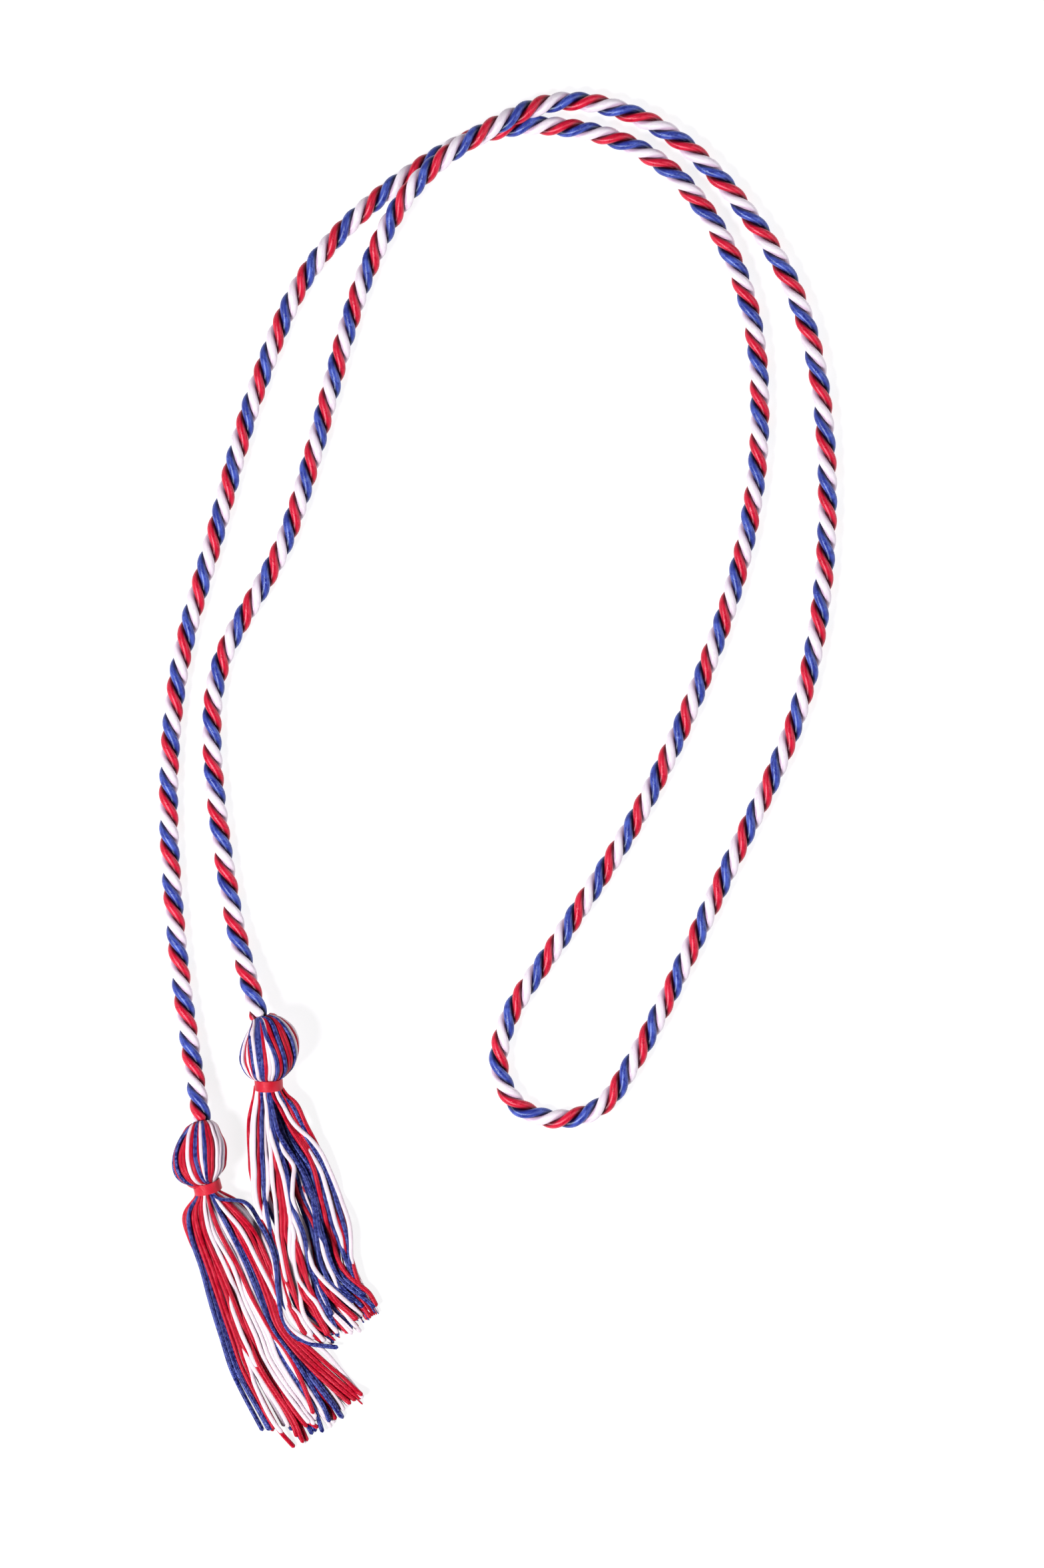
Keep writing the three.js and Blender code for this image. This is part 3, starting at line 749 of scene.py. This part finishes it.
for name, tassel in (("left", LEFT), ("right", RIGHT)):
    side, up = crossways(tassel["direction"])
    turn = np.linspace(0, 2 * np.pi * BAND_TURNS, BAND_TURNS * TURN_STEPS + 1)[:, None]
    outward = np.cos(turn) * side + np.sin(turn) * up
    winding = (turn / (2 * np.pi * BAND_TURNS) - 0.5) * (BAND_WIDTH - 2 * BAND_THREAD)
    out = NECK_RADIUS + BAND_OUT - BAND_THREAD
    line = tassel["neck"] + tassel["direction"] * winding + outward * out
    wound = strand(line, outward, BAND_THREAD, BAND_SIDES)
    along = np.linspace(-SLEEVE_REACH, SLEEVE_REACH, 5)[:, None]
    line = tassel["neck"] + tassel["direction"] * along
    above = np.tile(up, (len(line), 1))
    sleeve = strand(line, above, NECK_RADIUS + SLEEVE_OUT, SLEEVE_SIDES, round_ends=False)
    band = thread_piece("band_wound_" + name, [wound, sleeve], [BAND_RED])
    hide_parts("band_" + name)

# %% [markdown]
# ## The skirts
# A skirt is a thick bundle of chainettes that come out of the neck side by side, fall over one
# another and spread. Simulating them would give some tangle, but not this one, so each strand that
# shows was charted instead. The fan of a skirt is a sheet of rows that run from its left
# edge to its right one. A strand's chart says how far down the rows it is and how far across, in
# hundredths, and its order says what it lies over. Where a strand dives under others, its chart
# stops, and the script carries it on, out of sight, to the neck or to the tips.

# %% Skirt fans
SKIRT_LENGTH = 84
FAN_START = 3.9  # half the width of a fan at the neck
FANS = {  # left across, left down, right across, right down, as shares of the length
    "left": [
        (-0.1, 0.12, 0.15, 0.06), (-0.072, 0.205, 0.2, 0.145), (-0.034, 0.315, 0.245, 0.28),
        (0.004, 0.455, 0.265, 0.42), (0.042, 0.573, 0.3, 0.54), (0.1, 0.714, 0.41, 0.64),
        (0.206, 0.94, 0.585, 0.81),
    ],
    "right": [
        (-0.076, 0.13, 0.11, 0.065), (-0.082, 0.22, 0.14, 0.15), (-0.07, 0.34, 0.205, 0.26),
        (-0.045, 0.465, 0.262, 0.385), (0.008, 0.6, 0.31, 0.53), (0.047, 0.76, 0.332, 0.67),
        (0.085, 0.9, 0.366, 0.755), (0.215, 0.995, 0.418, 0.855),
    ],
}
ROW_STEPS = 40  # of the sheet from one row to the next
COLUMNS, COLUMN_WIDTH, BESIDE = 80, 0.02, 0.3  # the sheet goes on beside the fan's two edges
BEFORE_FIRST, PAST_LAST = 8.0, 10.0  # length of a row up in the neck, and of one past the last


class Fan:
    """The sheet that a skirt's strands are charted on."""

    def __init__(self, tassel, rows):
        lean = math.radians(tassel["neck_lean"])
        self.axis = np.array([math.sin(lean), -math.cos(lean)])
        side = np.array([math.cos(lean), math.sin(lean)])
        neck = tassel["neck"][:2]
        start = neck + self.axis * (BAND_WIDTH / 2 + CLEARANCE)
        rows = neck + np.array(rows).reshape(-1, 2, 2) * (1, -1) * SKIRT_LENGTH
        ends = np.concatenate([[(start - side * FAN_START, start + side * FAN_START)], rows])
        left, right = ends[:, 0], ends[:, 1]
        self.last = len(rows)
        shares = np.linspace(-BESIDE, 1 + BESIDE, COLUMNS + 1)
        columns = [smooth_line(left + (right - left) * share, ROW_STEPS) for share in shares]
        self.sheet = np.stack(columns, axis=1)

    def place(self, down, across):
        """Where on the surface the sheet's places are: rows down and shares across."""
        row = np.clip(down, 0, self.last) * ROW_STEPS
        column = np.clip((across + BESIDE) / COLUMN_WIDTH, 0, COLUMNS - 0.001)
        r, c = np.minimum(row.astype(int), self.last * ROW_STEPS - 1), column.astype(int)
        part_down, part_across = (row - r)[:, None], (column - c)[:, None]
        upper = self.sheet[r, c] * (1 - part_across) + self.sheet[r, c + 1] * part_across
        lower = self.sheet[r + 1, c] * (1 - part_across) + self.sheet[r + 1, c + 1] * part_across
        inside = upper * (1 - part_down) + lower * part_down
        onward = unit(self.sheet[-1] - self.sheet[-1 - ROW_STEPS])[c]
        past = np.maximum(down - self.last, 0)[:, None] * PAST_LAST
        ahead = np.minimum(down, 0)[:, None] * BEFORE_FIRST
        return inside + onward * past + self.axis * ahead


fans = {"left": Fan(LEFT, FANS["left"]), "right": Fan(RIGHT, FANS["right"])}
print("fans of", [fan.last for fan in fans.values()], "rows")

# %% Left skirt's chart
CHARTS = {"left": """
red 3: 0 -2, 1 3.5, 2 1.5, 3 6, 4 8, 5 8, 6 6, 7.1 8
blue 5: 0 5, 1 11, 2 4, 3 3.5, 4 3.5, 5 3, 6 -1.5, 7.05 1
blue 4: 0 4, 1 11, 2 7, 3 7, 4 9, 5 8, 6 4, 7.1 9
red 3: 0 2, 1 7.5, 2 5, 3 6, 4 8, 5 8, 6 6.5, 7.1 10
blue 3: 0 9, 1 17, 2 11, 3 9.5, 4 11.5, 5 12, 6 6, 7.1 7
red 4: 0 10, 1 18, 2 12, 3 12, 4 16, 5 17, 6 11, 7.1 12
red 5: 0 15, 1 22, 2 17, 3 18, 4 22, 5 24, 6 17, 7 15, 7.9 20
red 4: 0 20, 1 27, 2 21, 3 23, 4 30, 5 27, 6 28, 7 30, 7.6 27
red 5: 0 25, 1 31, 2 25, 3 28, 4 37, 5 40, 6 32, 7 33, 7.85 29
red 3: 0 29, 1 33, 2 29, 3 32, 4 42, 5 46.5, 6 36, 7.4 40
white 6: 0 33, 1 37, 2 31.5, 3 36, 4 46, 5 52, 6 41, 7.3 44
white 5: 0 38, 1 41, 2 37, 3 45.5, 4 53, 5 59, 6 47, 7.4 47
white 4: 0 43, 1 45, 2 43, 3 50, 4 58, 5 66, 6 52, 7.3 50
white 5: 0 46, 1 48, 2 47, 3 53, 4 62, 5 71, 6 56, 7.2 52
red 6: 0 44, 1 46.5, 2 44.5, 3 52, 4 64.5, 5 75, 6 70, 7.05 52
white 4: 0 50, 1 52, 2 54, 3 58.5, 4 68.5, 5 76, 6 66, 7.3 60
blue 7: 0 56, 1 57, 2 58.5, 3 64, 4 75, 5 80, 6 73.5, 7.5 60
blue 3: 0 58, 1 60, 2 62, 3 70, 4 79, 5 83, 6 76, 7.5 72
white 6: 0 62, 1 64, 2 73, 3 81, 4 98, 4.4 101
red 5: 0 66, 1 71, 2 81, 3 86, 4 101
red 5: 0 70, 1 75, 2 87, 3 95, 3.6 102
white 3: 0 76, 1 85, 2 93.5, 3 101, 3.6 103
blue 9: 0.2 62, 0.45 68, 0.6 76, 0.75 88, 1 98, 1.5 100, 2 101, 2.5 104, 3 105, 3.5 104, 4 103, 4.5 101, 5 100, 5.35 99, 5.55 102, 5.75 108, 5.85 115, 5.95 123, 6.02 129
red 4: 0 60, 1 64, 2 66, 3 73, 4 84, 5 87, 6 81, 7.15 88
red 5: 0 64, 1 67, 2 70, 3 77.5, 4 89, 5 92, 6 87, 7.1 94
red 3: 0 68, 1 72, 2 76, 3 84, 4 93, 5 96, 6 93, 7.1 99
white 3: 0 74, 1 82, 2 90, 3 97, 4 100, 5 104, 5.5 109, 6 111, 6.5 106, 7.1 101
red 4: 0 72, 1 78, 2 84, 3 92, 4 98, 5 101, 6 100, 7 103
blue 2: 0 48, 1 50, 2 52, 3 56, 4 64, 5 70, 6 60, 7.3 52
blue 3: 0 52, 1 54, 2 56, 3 60, 4 70, 5 74, 6 64, 7.75 49
white 2: 0 24, 1 26, 2 27, 3 30, 4 33, 5 33, 6 30, 7.3 29
white 5.5: 4.2 32, 4.6 33.5, 5 33.5, 5.5 31.5, 5.8 29
blue 2: 0 30, 3 34, 5 36, 6 33, 7.1 31, 7.75 29
white 1.5: 0 34, 3 38, 5 38, 6 35, 7 33, 7.9 30
red 2: 0 36, 3 38, 5 40, 6 38, 7 36, 7.85 33
red 2.5: 0 38, 3 42, 5 48, 6 42, 7 42, 7.55 48
blue 2: 0 44, 3 46, 5 56, 6 46, 7 42, 7.7 40
white 9: 5.8 22, 6.3 16, 6.8 14, 7.3 17
white 9: 5.8 24, 6.3 25, 6.8 26, 7.2 25
blue 1: 0 20, 3 24, 5 28, 6 26, 7.35 26
red 1: 0 40, 3 40, 5 50, 6 44, 7.3 36
blue 1: 0 46, 3 48, 5 62, 6 52, 7.65 44
white 1: 0 52, 3 60, 5 72, 6 60, 7.7 58
white 1: 0 54, 3 64, 5 76, 6 66, 7.6 63
red 1: 0 58, 3 70, 5 82, 6 74, 7.5 66
blue 1: 0 62, 3 72, 5 86, 6 80, 7.55 72
white 1: 0 66, 3 78, 5 90, 6 86, 7.3 78
"""}
print("left skirt,", len(read_chart(CHARTS["left"])), "strands charted")

# %% Right skirt's chart
CHARTS["right"] = """
red 2: .2 -5, .7 -1, 1 0, 1.5 2, 2 2.5, 2.5 2, 3 0
white 4: .3 4, .7 7, 1 8, 1.5 8, 2 7, 2.5 5, 3 3, 3.5 0, 4 -2, 4.5 1.5
white 4: .3 9, .7 12, 1 12, 1.5 12, 2 11, 2.5 8, 3 6, 3.5 2, 4.3 0
red 3: .3 15, .7 18.5, 1 18.5, 1.5 19, 2 19, 2.5 14.5, 3 11, 3.5 7, 4 3.5, 4.4 0, 5 -2, 5.5 2, 6 5, 6.5 13
blue 6: .3 22, .7 26.5, 1 26, 1.5 26, 2 24.5, 2.5 20.5, 3 17, 3.5 13.5, 4 10, 4.5 5.5, 5 1, 5.4 2, 5.7 0, 6 -2, 6.3 -5
white 5: 1 33, 2 29.5, 2.5 26, 3 23.5, 3.5 19, 3.8 14, 4.1 8, 4.5 2
white 5: .3 33, .7 37, 1 37, 2 37, 2.5 34, 3 29, 3.5 25, 4 22.5, 4.5 16, 5 8, 5.5 7, 6 6
white 6: 2 40, 2.5 40.5, 3 40, 3.5 40, 4.5 33, 5 24, 5.5 18, 6 19, 6.5 20, 7 16, 7.5 9, 8 0
red 5: 2.8 37, 3 35, 3.5 32, 4 29, 4.5 22, 5 14, 5.5 12, 6 12, 6.5 14
red 4: 3 37, 3.5 35.5, 4 33, 4.5 27, 5 19
white 4: 4.5 35, 5 35.5, 5.4 35.5, 5.8 33
red 4: 4.8 30, 5 30, 5.5 27, 6 31, 6.4 34, 6.7 36
red 4: 5 28, 5.5 32, 6 33
white 8: 4.9 30, 5.2 26, 5.5 22.5, 6 22, 6.3 26, 6.6 31, 6.9 36, 7.2 35, 7.5 30.5, 8 25
red 7: 6.3 22, 6.6 24, 7 29, 7.3 25, 7.6 19, 7.9 11
red 7: 6.3 26, 6.6 28, 7 32, 7.3 28, 7.6 22, 7.9 14
blue 5: .5 44, 1 43, 1.5 44, 2 45, 2.5 45.5, 3 46, 3.5 45, 4 40, 4.5 39.5, 5 41, 5.5 40.5, 6 40, 6.5 41, 7 42, 7.5 37, 7.8 30, 8.1 20
blue 6: 6.1 44, 6.5 47, 7 48, 7.3 44, 7.5 40
white 9: 2.6 51, 3 56, 3.2 57.5, 3.5 52, 3.8 47, 4.1 43
blue 6: .5 50, 1 49, 1.5 51, 2 53, 2.5 57, 3 62, 3.5 66, 4 67, 4.5 63, 5 57, 5.5 55, 6 56, 6.5 60, 7 67, 7.5 75
blue 5: .5 54, 1 55, 1.5 58, 2 60, 2.5 62, 3 66, 3.5 69, 4 69, 4.5 66, 5 61, 5.5 63
blue 4: 1 57, 1.5 62, 2 66, 2.5 69, 3 73, 3.3 77, 3.6 76, 4 72, 4.5 68
red 6: .3 58, .7 62, 1 63, 1.5 69, 2 74, 2.5 78, 3 81, 3.5 80, 4 77, 4.5 74, 5 72, 5.5 75, 6 79, 6.5 84, 7 91, 7.5 98.5, 8 98.5
red 5: .3 65, .7 67, 1 67, 1.5 72, 2 77, 2.5 82, 3 84
white 8: .5 70, 1 71.5, 1.5 76, 2 84, 2.5 94, 3 98, 3.5 98, 4 98, 4.5 98, 5 99, 5.5 98, 6 95
red 3: .5 82, 1 80, 1.5 84, 2 88, 2.5 87
blue 4: .5 76, 1 75
blue 4: 1 86, 1.5 90, 2 94, 2.3 95
red 4: .5 93, 1 95, 1.5 98, 2 100, 2.5 99
blue 5: 2.3 90, 2.7 90.5, 3 92, 3.5 93, 4 93, 4.5 92, 5 92, 5.5 94, 6 93, 6.4 90
white 5: 3 85, 3.5 87.5, 4 86, 4.5 84, 5 83, 5.4 86
blue 3: 3.5 83, 4 81.5, 4.5 79, 5 78.5, 5.5 84, 6 88, 6.5 90
red 4: 5 87, 5.4 89
red 4: 6 95, 6.5 94, 6.9 93
white 9: 5.7 43, 6 46, 6.5 55.5, 7 64, 7.5 68.5, 8 71
red 8: 6.4 49, 6.8 53, 7.2 56, 7.6 58.5, 8 60
red 8: 7 58, 7.5 60, 8 62.5
blue 6: 5.5 66, 6 69, 6.5 73, 7 80, 7.5 88, 8 95
blue 5: 6 72, 6.5 78, 7 85, 7.5 92
blue 5: 6.5 68, 7 73, 7.5 78, 7.8 80
white 5: 5.5 61, 6 64, 6.5 67
white 2: 5 60, 7 58, 8 53, 8.4 52
blue 2: 5 52, 7 50, 7.6 47, 8.15 46
red 2: 5 40, 7 40, 7.7 38, 8.2 36
red 2: 5 76, 7 80, 8 80, 8.2 80
white 2: 5 44, 7 44, 8.3 40
white 2.5: 4.6 0, 5 -2, 5.5 1, 6 -1, 6.5 0, 7 0, 7.5 -4, 7.8 -6
red 2: 4.6 4, 5 3, 6 2, 6.6 3, 7 3.5, 7.5 0, 8 -3
white 3: 6.3 0, 6.7 5, 7 10, 7.4 5, 7.7 -3
red 3: 6.6 4, 7 7, 7.3 0, 7.6 -6
"""
print("right skirt,", len(read_chart(CHARTS["right"])), "strands charted")

# %% [markdown]
# The charts give the strands' places across the surface, and the heights follow from what lies
# over what. Every strand starts low down. Wherever two come close, the one of higher order is
# lifted until the two only press on each other a little, and a strand that is lifted at one place
# slopes down from it on either side. A few dozen rounds of this settle the whole pile, as a
# careful hand would lay it, strand by strand. That pile is taller than the real one, whose strands
# give way. So it is pressed down at the end, by one share for all the strands of a place: what
# lies on top stays on top, and strands that lie on one another overlap a little.

# %% Pile of strands
SOFTNESS = 0.93  # how close the middles of two strands may come, as a share of their radii
STEEPEST = 1.1  # slope of a strand where it comes down off another
EASY_SLOPE = 0.5  # the same, where the left skirt comes down off the right one
WIDEST = 0.85  # radius that no strand reaches
ROUNDS = 30
CELL = 2  # millimetres, of the grid on which the top of the pile is found


def come_down(height, strands, starts, steepest):
    """Lets every strand slope down, no steeper than this, from each place where it is lifted."""
    for each, first, last in zip(strands, starts[:-1], starts[1:]):
        part, along = height[first:last], steepest * each["along"]
        forward = np.maximum.accumulate(part + along) - along
        backward = (np.maximum.accumulate((part - along)[::-1]))[::-1] + along
        height[first:last] = np.maximum(forward, backward)


def peak_near(xy, height):
    """The height of the pile round each sample: the highest in each cell, spread and smoothed."""
    place = (xy - xy.min(axis=0)) / CELL + 3
    cell = np.round(place).astype(int)
    peak = np.zeros(cell.max(axis=0) + 5)
    np.maximum.at(peak, tuple(cell.T), height)
    shifts = [(i, j) for i in (-1, 0, 1) for j in (-1, 0, 1)]
    for gather in (np.max, np.mean, np.mean):
        peak = gather([np.roll(peak, shift, (0, 1)) for shift in shifts], axis=0)
    (i, j), (x, y) = place.astype(int).T, (place % 1).T
    near = peak[i, j] * (1 - x) + peak[i + 1, j] * x
    far = peak[i, j + 1] * (1 - x) + peak[i + 1, j + 1] * x
    return np.maximum(near * (1 - y) + far * y, 0.1)


def pile_up(strands):
    """The height of every sample of the strands, from their orders and the room that they have."""
    keys = ("xy", "base", "order", "radius", "low", "high")
    xy, base, order, radius, low, high = (np.concatenate([s[key] for s in strands]) for key in keys)
    lengths = [len(s["xy"]) for s in strands]
    owner = np.repeat(np.arange(len(strands)), lengths)
    leftmost = np.repeat([s["name"] == "left" for s in strands], lengths)
    starts = np.concatenate([[0], np.cumsum(lengths)])
    order = order + owner * 0.004  # strands of one order lie over one another in turn
    tree = KDTree(len(xy))
    for n, (x, y) in enumerate(xy):
        tree.insert((x, y, 0), n)
    tree.balance()
    above, below, gap = [], [], []
    for n, (x, y) in enumerate(xy):
        for _, other, distance in tree.find_range((x, y, 0), 2 * SOFTNESS * WIDEST):
            touch = SOFTNESS * (radius[n] + radius[other])
            if owner[n] != owner[other] and order[n] > order[other] and distance < touch:
                above.append(n)
                below.append(other)
                gap.append(math.sqrt(touch**2 - distance**2))
    above, below, gap = np.array(above), np.array(below), np.array(gap)
    across_skirts = leftmost[above] != leftmost[below]
    height = base + radius
    own = ~across_skirts
    for _ in range(ROUNDS):
        np.maximum.at(height, above[own], height[below[own]] + gap[own])
        come_down(height, strands, starts, STEEPEST)
    free = height.max()
    for side in (False, True):
        mine = leftmost == side
        raised = height[mine] - radius[mine]
        share = np.minimum((high - low - radius)[mine] / peak_near(xy[mine], raised), 1)
        height[mine] = low[mine] + radius[mine] + raised * np.maximum(share, 0)
    # Where the two skirts meet, the left one lies over the edge of the right one.
    lifted = height.copy()
    np.maximum.at(lifted, above[across_skirts], (height[below] + gap)[across_skirts])
    lifted -= height
    come_down(lifted, strands, starts, EASY_SLOPE)
    height += lifted
    for first, last in zip(starts[:-1], starts[1:]):
        height[first:last] = evened(height[first:last], [1, 3, 5, 3, 1], mode="edge")
    height = np.maximum(height, radius)
    print("a pile of", len(strands), "strands with", len(above), "contacts")
    print("it was", round(free, 1), "mm high and is pressed to", round(height.max(), 1), "mm")
    return [height[first:last] for first, last in zip(starts[:-1], starts[1:])]


# %% Skirt strands
STRAND_RADIUS = 0.78
UNDER_BAND = -0.28  # row where every strand starts, out of sight
ROW_AS_ACROSS = 14  # hundredths across that are about as long as a row
CROWN = [10.6, 9.8, 7.5, 5.9, 5.2, 5.0, 4.6, 4.2, 3.8]  # height of a skirt's middle, row by row
BUNDLE_RADIUS, BUNDLE_EDGE = 3.45, 3.4  # of the strands in the neck, and how far aside they may lie
BUNDLE_LOWER, BUNDLE_FALL = 0.45, 1.3  # its middle under the neck's, and its fall with each row


def carried_on(chart, tips):
    """The strands of a skirt's chart. One that starts or stops short is carried on, out of sight."""
    found = []
    for color, order, places in read_chart(chart):
        shown = (places[0, 0] if places[0, 0] > 0.7 else -1, places[-1, 0])
        down, across = places[-1]
        if shown[0] > 0.35:
            places = np.vstack([[0, 0.8 * places[0, 1] + 10], places])
        if down < tips - 0.9 and across < 120:
            drift = np.clip(across + 4 * (chance.random() - 0.5), 4, 96)
            places = np.vstack([places, [(down + tips) / 2, drift], [tips - 0.2 * chance.random(), drift]])
        found.append({"color": color, "order": order, "places": places, "shown": shown})
    return found


def fill_strands(count, tips):
    """Strands of the hidden layers, spread across the fan."""
    found = []
    for n in range(count):
        across = 8 + 84 * (n + chance.uniform(0.2, 0.8)) / count
        places = [(0, across)]
        places += [(down, across + chance.normal(0, 2.5)) for down in np.arange(1, tips - 0.4)]
        places.append((tips - 0.35 * chance.random(), across + chance.normal(0, 2)))
        color, order = COLORS[chance.integers(3)], 0.5 * chance.random()
        found.append({"color": color, "order": order, "places": np.array(places), "shown": (0, 99)})
    return found


def skirt_top(down, across):
    """How high the pile of strands may stand."""
    crown = np.interp(down, np.arange(len(CROWN)), CROWN)
    fall = np.interp(down, [0, 1, 2], [0.36, 0.27, 0.25])
    return crown * (1 - fall * np.clip(2 * across - 1, -1, 1) ** 2)


def sample(fan, chart):
    """A charted strand as samples a millimetre apart, with the base and the room that it has."""
    line = smooth_line(chart["places"] / (1, ROW_AS_ACROSS), 24)
    down, across = line[:, 0], line[:, 1] * (ROW_AS_ACROSS / 100)
    down = np.concatenate([[UNDER_BAND], down])
    across = np.concatenate([[across[0]], across])
    xy = fan.place(down, across)
    along = distances(xy)
    count = max(int(along[-1]), 4)
    even = np.linspace(0, along[-1], count + 1)
    down, across = np.interp(even, along, down), np.interp(even, along, across)
    xy = between(even, along, xy)
    xy[1:-1] = (xy[:-2] + 2 * xy[1:-1] + xy[2:]) / 4
    # Where a strand dives under others, it goes on thinner.
    hidden = (down < chart["shown"][0] - 0.25) | (down > chart["shown"][1] + 0.25)
    slimness = evened(np.where(hidden, 0.4, 1.0), np.ones(7), mode="edge")
    radius = STRAND_RADIUS * slimness * np.interp(down, [0, 0.6, 1.6], [0.68, 0.8, 1])
    top = skirt_top(np.maximum(down, 0), across)
    base = np.maximum(top - np.interp(down, [0, 1.2, 2, 3, 4], [12, 6, 4.4, 5, 6]), 0)
    order = np.where(hidden, np.clip(chart["order"] - 2, 0.9, 2.9), chart["order"])
    # The room of the strands: a disk at the neck, and the surface and the skirt's top further down.
    away = np.minimum(abs(np.clip(2 * across - 1, -1, 1)) * FAN_START, BUNDLE_EDGE)
    bundle = NECK_HEIGHT - BUNDLE_LOWER - BUNDLE_FALL * np.maximum(down, 0)
    half = np.sqrt(BUNDLE_RADIUS**2 - away**2) - 0.1
    share = np.clip((down - 0.1) / 1.3, 0, 1)
    share = share * share * (3 - 2 * share)
    low = (bundle - half - 0.5) * (1 - share)
    high = (bundle + half) * (1 - share) + (top + 0.4) * share
    return {
        **chart, "xy": xy, "down": down, "along": even, "radius": radius,
        "base": base, "order": order, "low": low, "high": high,
    }


# %% Lay the skirts
TIPS = {"left": 7.35, "right": 8.25}  # rows down
FILL = 18  # strands that run the whole length under the charted ones
MIDDLE_COLUMNS, MIDDLE_LEVELS = 9, 3  # of the short strands in the middle
MIDDLE_ROWS = 4.6  # that they reach down

strands = []
for name in ("right", "left"):
    for chart in fill_strands(FILL, TIPS[name]) + carried_on(CHARTS[name], TIPS[name]):
        each = sample(fans[name], chart)
        higher = 10 if name == "left" else 0
        strands.append({**each, "name": name, "order": each["order"] + higher})

laid = {"left": [], "right": []}
for each, height in zip(strands, pile_up(strands)):
    laid[each["name"]].append((each["color"], np.column_stack([each["xy"], height]), each["radius"]))

# The middle of each bundle, under its pile, is filled with shorter strands.
for name in laid:
    for n in range(MIDDLE_COLUMNS * MIDDLE_LEVELS - 1):
        column, level = divmod(n, MIDDLE_LEVELS)
        chart = fill_strands(1, MIDDLE_ROWS)[0]
        chart["places"][:, 1] += 14 + 72 * ((column + 0.5) / MIDDLE_COLUMNS) - chart["places"][0, 1]
        each = sample(fans[name], chart)
        share = (level + 0.5) / 5 * np.interp(each["down"], [0.8, 2.2], [1, 0.3])
        z = np.maximum(each["low"] + (each["high"] - each["low"]) * share, each["radius"])
        laid[name].append((each["color"], np.column_stack([each["xy"], z]), each["radius"]))

# %% Skirt meshes
for name in laid:
    by_color = {color: [] for color in COLORS}
    for color, line, radius in laid[name]:
        along = distances(line)
        fine = even_line(line, STRAND_SPACING)
        thick = np.interp(np.linspace(0, along[-1], len(fine)), along, radius)
        above = np.tile([0.0, 0, 1], (len(fine), 1))
        by_color[color].append(strand(fine, above, thick, STRAND_SIDES, stretch=STITCHES))
    for color, made in by_color.items():
        piece = thread_piece(f"skirt_{name}_{color}", made, [CHAINETTE[color]])
        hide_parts("tassel_" + name)

# %% [markdown]
# ## The floor and the light
# The cord lies on a plain white surface, lit so brightly that only its soft shadows show. The main
# light stands to the left and a little below, which puts the bright line on the lower left of each
# ply. A weaker light on the right, the glow of the surface itself and a faint pale sky fill the
# shade. The shadows are soft because the lights are large against the thickness of the cord.

# %% Floor
def floor_material():
    """A white surface that glows a little, so that it comes out white in the picture."""
    material, tree, surface = new_material("white_floor")
    place = node(tree, "ShaderNodeTexCoord").outputs["Object"]
    speckle = noise_node(tree, place, 90.0, 4.0)
    connect(tree, surface, {
        "Base Color": mix(tree, speckle, (0.26, 0.25, 0.27), (0.28, 0.27, 0.29)), "Roughness": 0.9,
        "Specular IOR Level": 0.1, "Emission Color": (1, 1, 1, 1), "Emission Strength": 0.84,
    })
    return material


floor_mesh = bpy.data.meshes.new("floor")
floor_mesh.from_pydata([(-2, -2, 0), (2, -2, 0), (2, 2, 0), (-2, 2, 0)], [], [(0, 1, 2, 3)])  # metres
floor_mesh.materials.append(floor_material())
floor = bpy.data.objects.new("floor", floor_mesh)
bpy.context.collection.objects.link(floor)
print("floor", floor.name)


# %% Lights
def soft_light(name, place, size, power):
    """A square soft light that faces the middle of the cord."""
    lamp = bpy.data.lights.new(name, "AREA")
    lamp.shape, lamp.size, lamp.energy = "SQUARE", size, power
    made = bpy.data.objects.new(name, lamp)
    bpy.context.collection.objects.link(made)
    made.location = place
    made.rotation_mode = "QUATERNION"
    away = np.array(place) / np.linalg.norm(place)
    made.rotation_quaternion = Vector(away).to_track_quat("Z", "Y")


soft_light("main_light", (-0.95, -0.6, 1.4), 0.5, 44)
soft_light("fill_light", (1.3, 0.4, 0.9), 1.2, 13)

world = bpy.data.worlds.new("pale_sky")
bpy.context.scene.world = world
world.use_nodes = True
sky = world.node_tree.nodes["Background"]
connect(world.node_tree, sky, {"Color": (0.93, 0.94, 1.0, 1), "Strength": 0.05})
bpy.context.scene.view_settings.view_transform = "Standard"  # so that white stays white
print("two soft lights and a pale sky")
